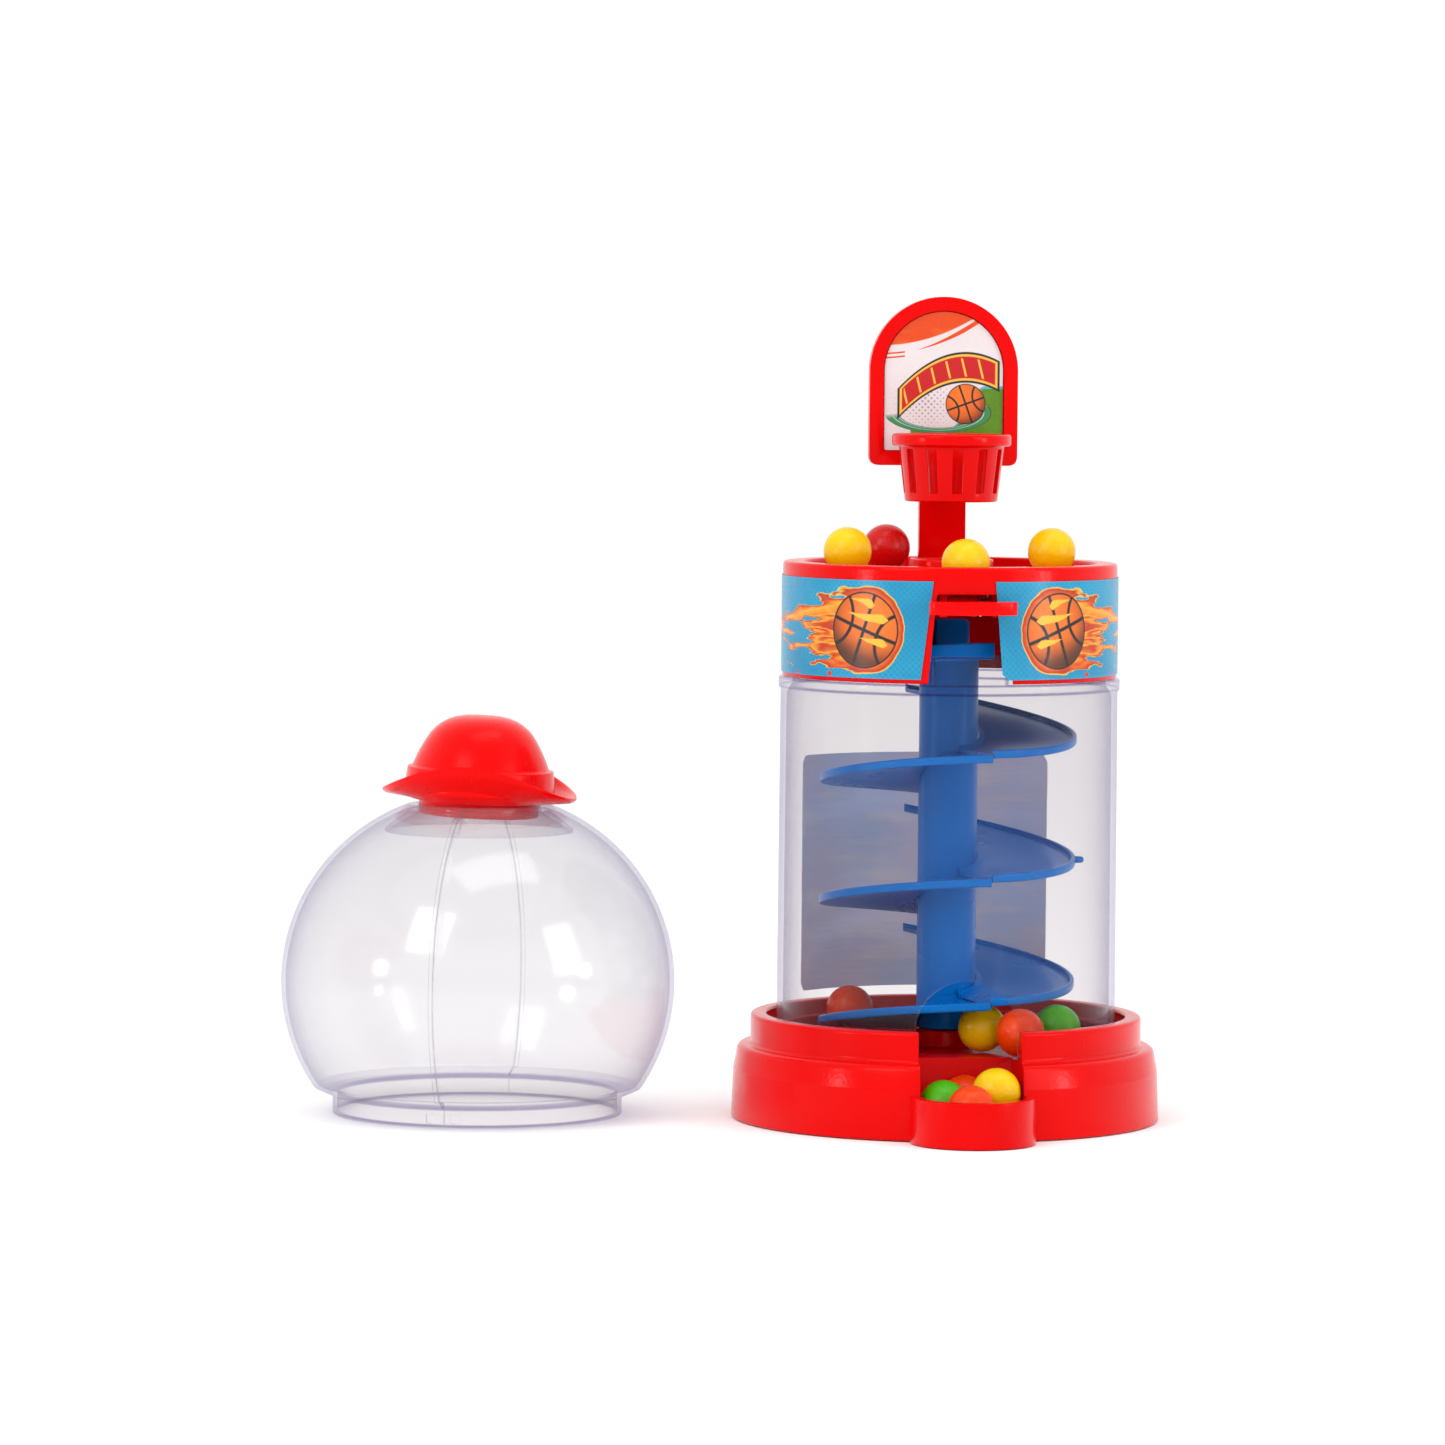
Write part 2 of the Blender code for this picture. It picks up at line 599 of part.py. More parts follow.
def stickers():
    """Two printed bands on the collar and a large label behind the tube."""
    low = 118.1 * MM
    high = 143.5 * MM
    wrapped("collar_sticker_left", 44.35 * MM, low, high, (-118, -16.9), (-118, -12.9), STICKER)
    wrapped("collar_sticker_right", 44.35 * MM, low, high, (10.6, 118), (8.0, 118), STICKER)
    wrapped("rear_label", 45.15 * MM, 30.5 * MM, 94 * MM, (136.2, 231.8), (136.2, 231.8), LABEL)


# ---------------------------------------------------------------- globe and hat

def globe_side(offset, first, last, steps):
    """Outline of the ellipsoid, moved out by an offset, between two angles in degrees."""
    points = []
    for step in range(steps + 1):
        angle = math.radians(first + (last - first) * step / steps)
        points.append(((GLOBE_RADIUS + offset) * math.cos(angle),
                       GLOBE_CENTRE + (GLOBE_SEMI_HEIGHT + offset) * math.sin(angle)))
    return points


def in_globe_place(piece, yaw):
    piece.location = GLOBE_AT
    piece.rotation_euler.z = math.radians(yaw)
    return piece


def globe_halves():
    """Clear globe in two halves, with a rib along the seam and a neck ring below."""
    shell = [(MOUTH_RADIUS, 82.2 * MM)] + globe_side(0, 68.6, -35.6, 13)
    shell += [(NECK_RADIUS, NECK_TOP), (NECK_RADIUS, 0.0), (NECK_RADIUS - GLOBE_WALL, 0.0),
              (NECK_RADIUS - GLOBE_WALL, NECK_TOP + 1.4 * MM)]
    shell += globe_side(-GLOBE_WALL, -33.6, 68.0, 13)
    shell += [(MOUTH_RADIUS, 80.9 * MM)]
    rib = globe_side(0.6 * MM, 62, -33, 12) + globe_side(-0.6 * MM, -33, 62, 12)
    sides = {"left": -1, "right": 1}
    for name, side in sides.items():
        half = in_globe_place(turned(f"globe_{name}_half", shell, CLEAR), GLOBE_SEAM)
        ridge = in_globe_place(turned(f"rib_{name}", rib), GLOBE_SEAM)
        slab = in_globe_place(box(f"slab_{name}", (-1 * MM, -70 * MM, -9 * MM), (1 * MM, 70 * MM, 90 * MM)),
                              GLOBE_SEAM)
        keep_inside(ridge, slab)
        join(half, ridge)
        near, far = sorted((side * GAP / 2, side * 80 * MM))
        room = box(f"room_{name}", (near, -80 * MM, -9 * MM), (far, 80 * MM, 99 * MM))
        in_globe_place(room, GLOBE_SEAM)
        keep_inside(half, room)


def in_hat_place(piece):
    """Stand a hat piece on the globe's mouth, tilted a little towards +X."""
    seat = Matrix.Translation((0, 0, HAT_BOTTOM))
    turn = Matrix.Rotation(math.radians(HAT_YAW), 4, "Z") @ seat
    tilt = Matrix.Rotation(math.radians(HAT_TILT), 4, "Y") @ seat.inverted()
    lift = Matrix.Translation((0, 0, HAT_LIFT))
    piece.matrix_world = Matrix.Translation(GLOBE_AT) @ lift @ turn @ tilt
    return piece


def hat_brim():
    """Oval brim that dips at its two sides and turns up in front and behind."""
    root = (16.5 * MM, HAT_BOTTOM)

    def build(shape):
        rings = []
        rows = [0.0, 0.35, 0.7, 1.0]
        for step in range(SEGMENTS):
            angle = math.tau * step / SEGMENTS
            reach = math.hypot(25.8 * math.cos(angle), 22.5 * math.sin(angle)) * MM
            tip = (87.3 - 4.1 * math.cos(2 * angle)) * MM
            lower = []
            upper = []
            for row in rows:
                radius = root[0] + (reach - root[0]) * row
                height = root[1] + (tip - root[1]) * row ** 1.6
                spot = (radius * math.cos(angle), radius * math.sin(angle))
                lower.append(shape.verts.new((*spot, height)))
                upper.append(shape.verts.new((*spot, height + 1.8 * MM)))
            rings.append(lower + list(reversed(upper)))
        count = len(rings[0])
        for index, ring in enumerate(rings):
            after = rings[(index + 1) % SEGMENTS]
            for i in range(count):
                j = (i + 1) % count
                shape.faces.new((ring[i], ring[j], after[j], after[i]))

    return in_hat_place(add("hat_brim", mesh_from("hat_brim", build)))


def hat_lid():
    """Hat-shaped lid: hollow crown with a band, a saddle brim and a plug below."""
    outline = [(0.0, HAT_TOP), (4.0 * MM, 105.1 * MM), (7.4 * MM, 104.4 * MM), (10.4 * MM, 103.0 * MM),
               (12.9 * MM, 100.9 * MM), (15.2 * MM, 97.5 * MM), (17.2 * MM, 93.7 * MM),
               (18.1 * MM, 91.2 * MM), (19.3 * MM, 91.0 * MM), (20.0 * MM, 84.6 * MM),
               (18.2 * MM, HAT_BOTTOM), (15.9 * MM, HAT_BOTTOM), (15.9 * MM, 78.6 * MM),
               (14.4 * MM, 78.6 * MM), (15.6 * MM, 92 * MM), (14.2 * MM, 96.5 * MM),
               (11.4 * MM, 100.3 * MM), (7.0 * MM, 102.9 * MM), (0.0, 103.9 * MM)]
    hat = in_hat_place(turned("hat_lid", outline, LEVER_RED, closed=False))
    join(hat, hat_brim())


# ---------------------------------------------------------------- gumballs

def gumball(name, x, y, z, colour):
    def build(shape):
        bmesh.ops.create_uvsphere(shape, u_segments=14, v_segments=9, radius=BALL)

    ball = add(name, mesh_from(name, build), colour)
    ball.data.shade_smooth()
    ball.location = Vector((x, y, z)) * MM


def gumballs():
    """Gumballs in the bowl, on the launcher, on the upper floor and in the tray."""
    bowl = [(-28.4, -9.3, YELLOW), (-14.9, 17.5, BALL_RED), (25.9, -7.5, YELLOW)]
    for index, (x, y, colour) in enumerate(bowl):
        gumball(f"gumball_bowl_{index + 1}", x, y, 150.15, colour)
    gumball("gumball_launch", 0, -31, 147.9, YELLOW)
    floor = [(-22.2, 29.0, ORANGE), (7.1, -19.8, YELLOW), (15.4, -32.6, ORANGE), (26.5, -22.6, GREEN)]
    for index, (x, y, colour) in enumerate(floor):
        gumball(f"gumball_floor_{index + 1}", x, y, 25.65, colour)
    tray = [(-6.7, -49.5, 8.95, GREEN), (-1.1, -61.5, 8.95, ORANGE), (6.7, -51.5, 12.3, YELLOW),
            (0.3, -37.8, 8.95, ORANGE)]
    for index, (x, y, z, colour) in enumerate(tray):
        gumball(f"gumball_tray_{index + 1}", x, y, z, colour)


base_shell()
bottom_plate()
base_screws()
clear_tube()
spiral_column()
spiral_ramps()
bowl_collar()
launcher_lever()
lever_pin()
lever_spring()
backboard_post()
backboard_sticker()
hoop_basket()
stickers()
globe_halves()
hat_lid()
gumballs()
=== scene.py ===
"""Looks of a toy gumball machine with a basketball hoop, a spiral ball run and a lift-off globe.

Lengths inside the classes are millimetres and become metres when a mesh is made. Azimuths turn
about +Z from the front (-Y) towards +X.
"""
from __future__ import annotations

import logging
import math
from dataclasses import dataclass
from enum import Enum
from typing import Callable, Sequence

import bmesh
import bpy
from mathutils import Matrix, Vector


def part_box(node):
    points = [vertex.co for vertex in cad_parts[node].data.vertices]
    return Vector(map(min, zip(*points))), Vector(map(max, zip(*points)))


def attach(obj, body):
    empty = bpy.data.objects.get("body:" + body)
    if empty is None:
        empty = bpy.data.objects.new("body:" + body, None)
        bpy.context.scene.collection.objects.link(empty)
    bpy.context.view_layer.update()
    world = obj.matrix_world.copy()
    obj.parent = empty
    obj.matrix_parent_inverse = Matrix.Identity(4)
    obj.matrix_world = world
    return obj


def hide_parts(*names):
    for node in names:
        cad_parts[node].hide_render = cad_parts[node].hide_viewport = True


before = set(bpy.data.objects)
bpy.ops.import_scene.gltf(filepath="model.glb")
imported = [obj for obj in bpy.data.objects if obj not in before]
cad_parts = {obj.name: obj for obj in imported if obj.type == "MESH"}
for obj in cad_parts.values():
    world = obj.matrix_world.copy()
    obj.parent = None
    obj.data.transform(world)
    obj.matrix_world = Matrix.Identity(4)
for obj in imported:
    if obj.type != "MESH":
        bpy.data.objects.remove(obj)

LOG = logging.getLogger("gumball_machine")
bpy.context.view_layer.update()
MM = 0.001
ROUND = 128                 # facets round a large turned piece
PIN = (-38.0, 137.0)        # the lever's pin, in Y and Z

Point = tuple[float, float]
Colour = tuple[float, float, float]
Piece = bpy.types.Object
Material = bpy.types.Material


class Body(Enum):
    """Rigid bodies that a piece can ride on."""

    MACHINE = "machine"
    LEVER = "lever"
    LAUNCH_BALL = "launch_ball"
    GLOBE = "globe"
    HAT = "hat"


class Slot(Enum):
    """Material slots of the record."""

    RED = "red_plastic"
    BRIGHT_RED = "bright_red_plastic"
    BLUE = "blue_plastic"
    CLEAR = "clear_plastic"
    COLLAR_PRINT = "collar_print"
    BOARD_PRINT = "board_print"
    LABEL = "label_back"
    STEEL = "steel"
    YELLOW = "yellow_candy"
    RED_CANDY = "red_candy"
    GREEN = "green_candy"
    ORANGE = "orange_candy"


# ------------------------------------------------------------------ shader maths

def maths(operation: str, swap: bool = False) -> Callable[..., Value]:
    """Method that adds a Math node.

    Args:
        operation: what the node does.
        swap: whether the other operand comes first.

    Returns:
        The method.
    """
    def method(value: Value, *others: Value | float) -> Value:
        """Add the node."""
        operands = (*others, value) if swap else (value, *others)
        return value.sheet.node("ShaderNodeMath", {"operation": operation}, dict(enumerate(operands)))

    return method


class Value:
    """A shader socket that can be used in Python expressions."""

    def __init__(self, sheet: Sheet, socket: bpy.types.NodeSocket) -> None:
        """Wrap a socket of a sheet's node tree."""
        self.sheet = sheet
        self.socket = socket

    __add__ = __radd__ = maths("ADD")
    __sub__ = maths("SUBTRACT")
    __rsub__ = maths("SUBTRACT", swap=True)
    __mul__ = __rmul__ = maths("MULTIPLY")
    __truediv__ = maths("DIVIDE")
    __pow__ = maths("POWER")
    __abs__ = maths("ABSOLUTE")
    root = maths("SQRT")
    sign = maths("SIGN")
    most = maths("MAXIMUM")
    least = maths("MINIMUM")
    angle_to = maths("ARCTAN2")

    def __neg__(self) -> Value:
        """The opposite."""
        return 0.0 - self

    def hypot(self, other: Value) -> Value:
        """Length of the hypotenuse over this and the other."""
        return (self * self + other * other).root()

    def wrap(self, size: float) -> Value:
        """Place inside a repeating cell that is centred on 0."""
        return maths("WRAP")(self, size / 2, -size / 2)

    def step(self, low: float, high: float) -> Value:
        """Smooth step from 0 at low to 1 at high."""
        return self.sheet.node("ShaderNodeMapRange", {"interpolation_type": "SMOOTHSTEP"},
                               {"Value": self, "From Min": low, "From Max": high})

    def fade(self, low: float, high: float) -> Value:
        """Smooth step from 1 at low to 0 at high."""
        return 1.0 - self.step(low, high)


class Sheet:
    """Node tree of one material."""

    def __init__(self, name: str) -> None:
        """Make an empty material with an output."""
        self.material = bpy.data.materials.new(name)
        self.material.use_nodes = True
        self.tree = self.material.node_tree
        self.tree.nodes.clear()
        self.output = self.tree.nodes.new("ShaderNodeOutputMaterial")
        place = self.node("ShaderNodeTexCoord", {}, {}, "Object")
        self.place = place
        parts = self.tree.nodes.new("ShaderNodeSeparateXYZ")
        self.tree.links.new(place.socket, parts.inputs[0])
        self.x, self.y, self.z = (Value(self, parts.outputs[i]) * 1000.0 for i in range(3))

    def node(self, kind: str, settings: dict, inputs: dict, output: str | int = 0) -> Value:
        """Add a node.

        Args:
            kind: the node's type.
            settings: attributes, set first; "stops" fills a colour ramp.
            inputs: socket values or Values, by name or number.
            output: the output to return.

        Returns:
            The chosen output as a Value.
        """
        node = self.tree.nodes.new(kind)
        for key, value in settings.items():
            if key == "stops":
                ramp = node.color_ramp
                while len(ramp.elements) < len(value):
                    ramp.elements.new(0.5)
                for element, (place, colour) in zip(ramp.elements, value):
                    element.position = place
                    element.color = (*colour, 1.0)
            else:
                setattr(node, key, value)
        for key, value in inputs.items():
            if isinstance(value, Value):
                self.tree.links.new(value.socket, node.inputs[key])
            elif isinstance(value, tuple) and len(value) == 3 and node.inputs[key].type == "RGBA":
                node.inputs[key].default_value = (*value, 1.0)
            else:
                node.inputs[key].default_value = value
        return Value(self, node.outputs[output])

    def mix(self, mask: Value | float, first: Value | Colour, second: Value | Colour) -> Value:
        """Mix two colours: the first where the mask is 0, the second where it is 1."""
        return self.node("ShaderNodeMix", {"data_type": "RGBA"}, {0: mask, 6: first, 7: second}, 2)

    def noise(self, scale: float, detail: float = 3.0, place: Value | None = None) -> Value:
        """Noise of 0 to 1 with a scale per metre."""
        return self.node("ShaderNodeTexNoise", {},
                         {"Vector": place or self.place, "Scale": scale, "Detail": detail})

    def spot(self, first: Value | float, second: Value | float, third: Value | float = 0.0) -> Value:
        """Vector from three numbers."""
        return self.node("ShaderNodeCombineXYZ", {}, {0: first, 1: second, 2: third})

    def bump(self, height: Value, distance: float, strength: float = 1.0) -> Value:
        """Normal bent by a height."""
        return self.node("ShaderNodeBump", {},
                         {"Height": height, "Distance": distance, "Strength": strength})

    def principled(self, **inputs: object) -> Value:
        """Principled shader; underscores in the names stand for spaces."""
        names = {key.replace("_", " "): value for key, value in inputs.items()}
        return self.node("ShaderNodeBsdfPrincipled", {}, names)

    def blend(self, share: Value | float, first: Value, second: Value) -> Value:
        """Mix two shaders: the first where the share is 0, the second where it is 1."""
        return self.node("ShaderNodeMixShader", {}, {0: share, 1: first, 2: second})


# ------------------------------------------------------------------ finishes

@dataclass(frozen=True)
class Finish:
    """Base of every finish."""

    def shader(self, sheet: Sheet) -> Value:
        """Build the shader; every finish has its own."""
        raise NotImplementedError

    def material(self, name: str) -> Material:
        """Build the material."""
        sheet = Sheet(name)
        sheet.tree.links.new(self.shader(sheet).socket, sheet.output.inputs["Surface"])
        return sheet.material


@dataclass(frozen=True)
class MouldedPlastic(Finish):
    """Opaque injection-moulded plastic with faint flow marks and fine scuffs."""

    colour: Colour
    shade: Colour
    roughness: float = 0.2
    gloss: float = 0.35

    def shader(self, sheet: Sheet) -> Value:
        """Build the shader."""
        flow = sheet.noise(28.0, 2.0)
        speck = sheet.noise(900.0, 2.0)
        streak = sheet.noise(1.0, 4.0, sheet.spot(sheet.x * 0.9, sheet.y * 0.9, sheet.z * 0.06))
        colour = sheet.mix(flow.step(0.25, 0.8), self.colour, self.shade)
        colour = sheet.mix(streak.step(0.62, 0.8) * 0.25, colour, self.shade)
        rough = flow * 0.08 + streak.step(0.55, 0.8) * 0.10 + (self.roughness - 0.04)
        normal = sheet.bump(speck * 0.35 + flow, 0.00012)
        return sheet.principled(
            Base_Color=colour, Roughness=rough, Specular_IOR_Level=self.gloss, IOR=1.5, Normal=normal,
            Specular_Tint=(*(0.25 + 0.75 * part / max(self.colour) for part in self.colour), 1.0))


@dataclass(frozen=True)
class ClearPlastic(Finish):
    """Thin clear plastic: open where it faces the eye, tinted and glossy towards its edges, with painted
    refraction shade drawn as dark lines at given heights and along the tongue in the window.
    """

    face: Colour = (0.925, 0.915, 0.92)
    edge: Colour = (0.50, 0.45, 0.62)
    edge_power: float = 5.0
    haze: float = 0.006
    shine: float = 0.55
    # Heights and half-widths of painted refraction lines, and the half-width where painted lines edge the
    # tongue in the window.
    refraction_lines: tuple[Point, ...] = ()
    window: float = 0.0
    mirror: float = 0.006

    def paint_refraction_lines(self, sheet: Sheet, amount: Value) -> Value:
        """Paint dark lines of refraction shade where a step in the wall would bend the light into a line.

        Args:
            sheet: the sheet to draw on.
            amount: how tinted the plastic is already.

        Returns:
            The greater amount of the two.
        """
        for height, half in self.refraction_lines:
            amount = amount.most(abs(sheet.z - height).fade(half * 0.4, half) * 0.75)
        # Painted refraction shade along the sides of the tongue in the front window.
        if self.window:
            front = (-sheet.y).step(30.0, 31.0) * sheet.z.step(116.0, 116.6)
            side = abs(abs(sheet.x) - self.window).fade(0.15, 0.4)
            amount = amount.most(front * side * 0.7)
        return amount

    def shader(self, sheet: Sheet) -> Value:
        """Build the shader."""
        facing = sheet.node("ShaderNodeLayerWeight", {}, {"Blend": 0.5}, "Facing")
        ripple = sheet.noise(55.0, 2.0)
        dust = sheet.noise(700.0, 3.0)
        clear = sheet.node("ShaderNodeBsdfTransparent", {}, {"Color": self.face})
        tinted = sheet.node("ShaderNodeBsdfTransparent", {}, {"Color": self.edge})
        amount = self.paint_refraction_lines(sheet, facing ** self.edge_power)
        body = sheet.blend(amount, clear, tinted)
        gloss = sheet.principled(
            Base_Color=(0.62, 0.61, 0.66), Roughness=ripple * 0.05 + 0.035, Specular_IOR_Level=1.0,
            Coat_Weight=0.6, Coat_Roughness=0.03, Normal=sheet.bump(ripple, 0.0012, 0.55))
        veil = facing ** 4.0 * self.shine + dust.step(0.6, 0.9) * 0.02 + self.haze
        body = sheet.blend(veil.least(0.9), body, gloss)
        mirror = sheet.principled(Base_Color=(0.96, 0.96, 0.97), Metallic=1.0,
                                  Roughness=ripple * 0.06 + 0.09)
        return sheet.blend((ripple * 0.4 + 0.8) * self.mirror, body, mirror)


@dataclass(frozen=True)
class CandyGlaze(Finish):
    """Sugar glaze of a gumball: uneven colour, faint craters and a soft shine."""

    colour: Colour
    pale: Colour

    def shader(self, sheet: Sheet) -> Value:
        """Build the shader."""
        blotch = sheet.noise(260.0, 3.0)
        grain = sheet.noise(1500.0, 2.0)
        pit = sheet.node("ShaderNodeTexVoronoi", {}, {"Vector": sheet.place, "Scale": 620.0})
        colour = sheet.mix(blotch.step(0.42, 0.75) * 0.55, self.colour, self.pale)
        rough = blotch * 0.22 + grain * 0.08 + 0.12
        height = blotch * 0.9 + grain * 0.15 + pit.step(0.0, 0.35) * 0.25
        return sheet.principled(
            Base_Color=colour, Roughness=rough, Specular_IOR_Level=0.22, Subsurface_Weight=0.08,
            Subsurface_Scale=0.002, Normal=sheet.bump(height, 0.00022))


@dataclass(frozen=True)
class PlatedSteel(Finish):
    """Zinc-plated steel with fine turning marks."""

    colour: Colour = (0.62, 0.62, 0.64)

    def shader(self, sheet: Sheet) -> Value:
        """Build the shader."""
        mark = sheet.noise(2400.0, 2.0)
        tone = sheet.noise(200.0, 2.0)
        colour = sheet.mix(tone.step(0.3, 0.8), self.colour, (0.45, 0.44, 0.42))
        return sheet.principled(
            Base_Color=colour, Metallic=1.0, Roughness=mark * 0.2 + 0.2, Normal=sheet.bump(mark, 0.00005))


@dataclass(frozen=True)
class ToyPrint(Finish):
    """Shared inks and shapes of the printed stickers."""

    ball: Colour = (0.50, 0.085, 0.008)
    ball_dark: Colour = (0.055, 0.02, 0.010)
    ink: Colour = (0.012, 0.01, 0.012)

    def basketball(self, sheet: Sheet, ground: Value, across: Value, up: Value, radius: float) -> Value:
        """Draw a generic basketball.

        Args:
            sheet: the sheet to draw on.
            ground: the colour underneath.
            across: distance to the ball's centre along the print, in mm.
            up: height over the ball's centre, in mm.
            radius: the ball's radius in mm.

        Returns:
            The colour with the ball on it.
        """
        reach = across.hypot(up)
        light = (across + radius * 0.25).hypot(up - radius * 0.3)
        paint = sheet.mix(light.step(radius * 0.25, radius * 1.35), (0.72, 0.15, 0.012), self.ball)
        paint = sheet.mix(light.step(radius * 0.85, radius * 1.45) * 0.85, paint, self.ball_dark)
        line = radius * 0.045
        tilt = across * 0.94 + up * 0.34
        rise = up * 0.94 - across * 0.34
        seam = abs(tilt).least(abs(rise))
        for side in (-1.0, 1.0):
            seam = seam.least(abs((tilt - side * radius * 1.25).hypot(rise) - radius * 0.85))
        paint = sheet.mix(seam.fade(line * 0.6, line * 1.5), paint, self.ink)
        paint = sheet.mix(reach.step(radius * 0.93, radius * 0.97), paint, self.ink)
        return sheet.mix(reach.fade(radius * 0.98, radius * 1.01), ground, paint)

    def dots(self, across: Value, up: Value, pitch: float, size: Value | float) -> Value:
        """Halftone dots on a slanted grid; size runs from 0 to 1."""
        cell = pitch * 1.414
        reach = (across + up).wrap(cell).hypot((across - up).wrap(cell)) / (pitch * 0.75)
        return (reach - size).fade(-0.08, 0.08)

    def varnish(self, sheet: Sheet, colour: Value) -> Value:
        """Glossy film over the print, with a faint orange-peel."""
        peel = sheet.noise(420.0, 2.0)
        return sheet.principled(
            Base_Color=colour, Roughness=peel * 0.12 + 0.22, Specular_IOR_Level=0.35,
            Normal=sheet.bump(peel, 0.00006))


@dataclass(frozen=True)
class CollarPrint(ToyPrint):
    """Blue halftone band with a flaming ball at each side of the window."""

    blue: Colour = (0.003, 0.21, 0.38)
    pale_blue: Colour = (0.012, 0.28, 0.46)
    middle: float = -2.75
    ball_azimuth: float = 34.75
    ball_height: float = 130.6
    ball_radius: float = 10.0
    wrap_radius: float = 44.5

    def shader(self, sheet: Sheet) -> Value:
        """Build the shader."""
        arc = (sheet.x.angle_to(-sheet.y) - math.radians(self.middle)) * self.wrap_radius
        tail = abs(arc) - math.radians(self.ball_azimuth) * self.wrap_radius
        up = sheet.z - self.ball_height
        near = tail.step(-26.0, 4.0)
        low = up.fade(-12.0, 9.0)
        ground = sheet.mix(sheet.noise(60.0).step(0.3, 0.7), self.blue, self.pale_blue)
        dots = self.dots(tail, up, 1.15, 0.55 + 0.25 * low * (1.0 - near * 0.5))
        ground = sheet.mix(dots * 0.5, ground, (0.002, 0.16, 0.31))
        lick = sheet.noise(1.0, 3.0, sheet.spot(tail * 0.055, up * 0.34))
        curl = sheet.noise(1.0, 2.0, sheet.spot(tail * 0.12 + 7.0, up * 0.22))
        out = tail.most(0.0)
        head = (-tail - 2.0).most(0.0) / 9.6
        thick = 11.4 + (out * 0.3).least(0.9) - out * 0.10
        body = up + (curl - 0.5) * out * 0.55 + out * 0.04
        flame = 1.0 - (body / thick) ** 2.0 - head * head
        flame = flame - (out / 30.0).least(1.3) * (0.35 + 2.1 * lick.step(0.42, 0.66))
        flame = flame + (lick - 0.5) * 0.25
        fire = sheet.node("ShaderNodeValToRGB", {"stops": (
            (0.0, (0.78, 0.62, 0.12)), (0.05, (0.66, 0.30, 0.02)), (0.11, (0.38, 0.018, 0.004)),
            (0.30, (0.62, 0.10, 0.006)), (0.50, (0.80, 0.34, 0.02)), (0.80, (0.45, 0.03, 0.004)))},
            {"Fac": flame * (0.75 + curl * 0.5)})
        ground = sheet.mix(flame.step(0.0, 0.03), ground, fire)
        spark = sheet.node("ShaderNodeTexVoronoi", {},
                           {"Vector": sheet.spot(tail * 0.17, up * 0.17), "Scale": 1.0})
        chosen = abs(up).step(7.5, 9.0) * tail.step(-2.0, 6.0)
        ground = sheet.mix(spark.fade(0.12, 0.16) * chosen, ground, (0.55, 0.02, 0.01))
        drawn = self.basketball(sheet, ground, tail, up, self.ball_radius)
        shade = (tail * 0.35 - up).step(1.5, 8.5) * tail.hypot(up).fade(9.2, 9.6)
        drawn = sheet.mix(shade * 0.75, drawn, (0.035, 0.02, 0.014))
        for height, start, long, thick_lick in ((6.4, -3.2, 7.0, 1.3), (2.6, -7.2, 12.0, 1.7),
                                                (-3.6, -7.0, 8.0, 1.3)):
            share = (tail - start) / long
            bend = abs(up - height - share * 1.6 + (curl - 0.5) * 2.0)
            reach = thick_lick * (1.0 - share) * share.step(-0.02, 0.18)
            inside = (bend - reach).fade(-0.1, 0.15)
            drawn = sheet.mix(inside * share.step(0.0, 0.02) * 0.95, drawn, (0.80, 0.42, 0.03))
        border = (abs(up - 0.2) - 12.2).step(0.0, 0.15)
        drawn = sheet.mix(border * 0.5, drawn, self.pale_blue)
        return self.varnish(sheet, drawn)


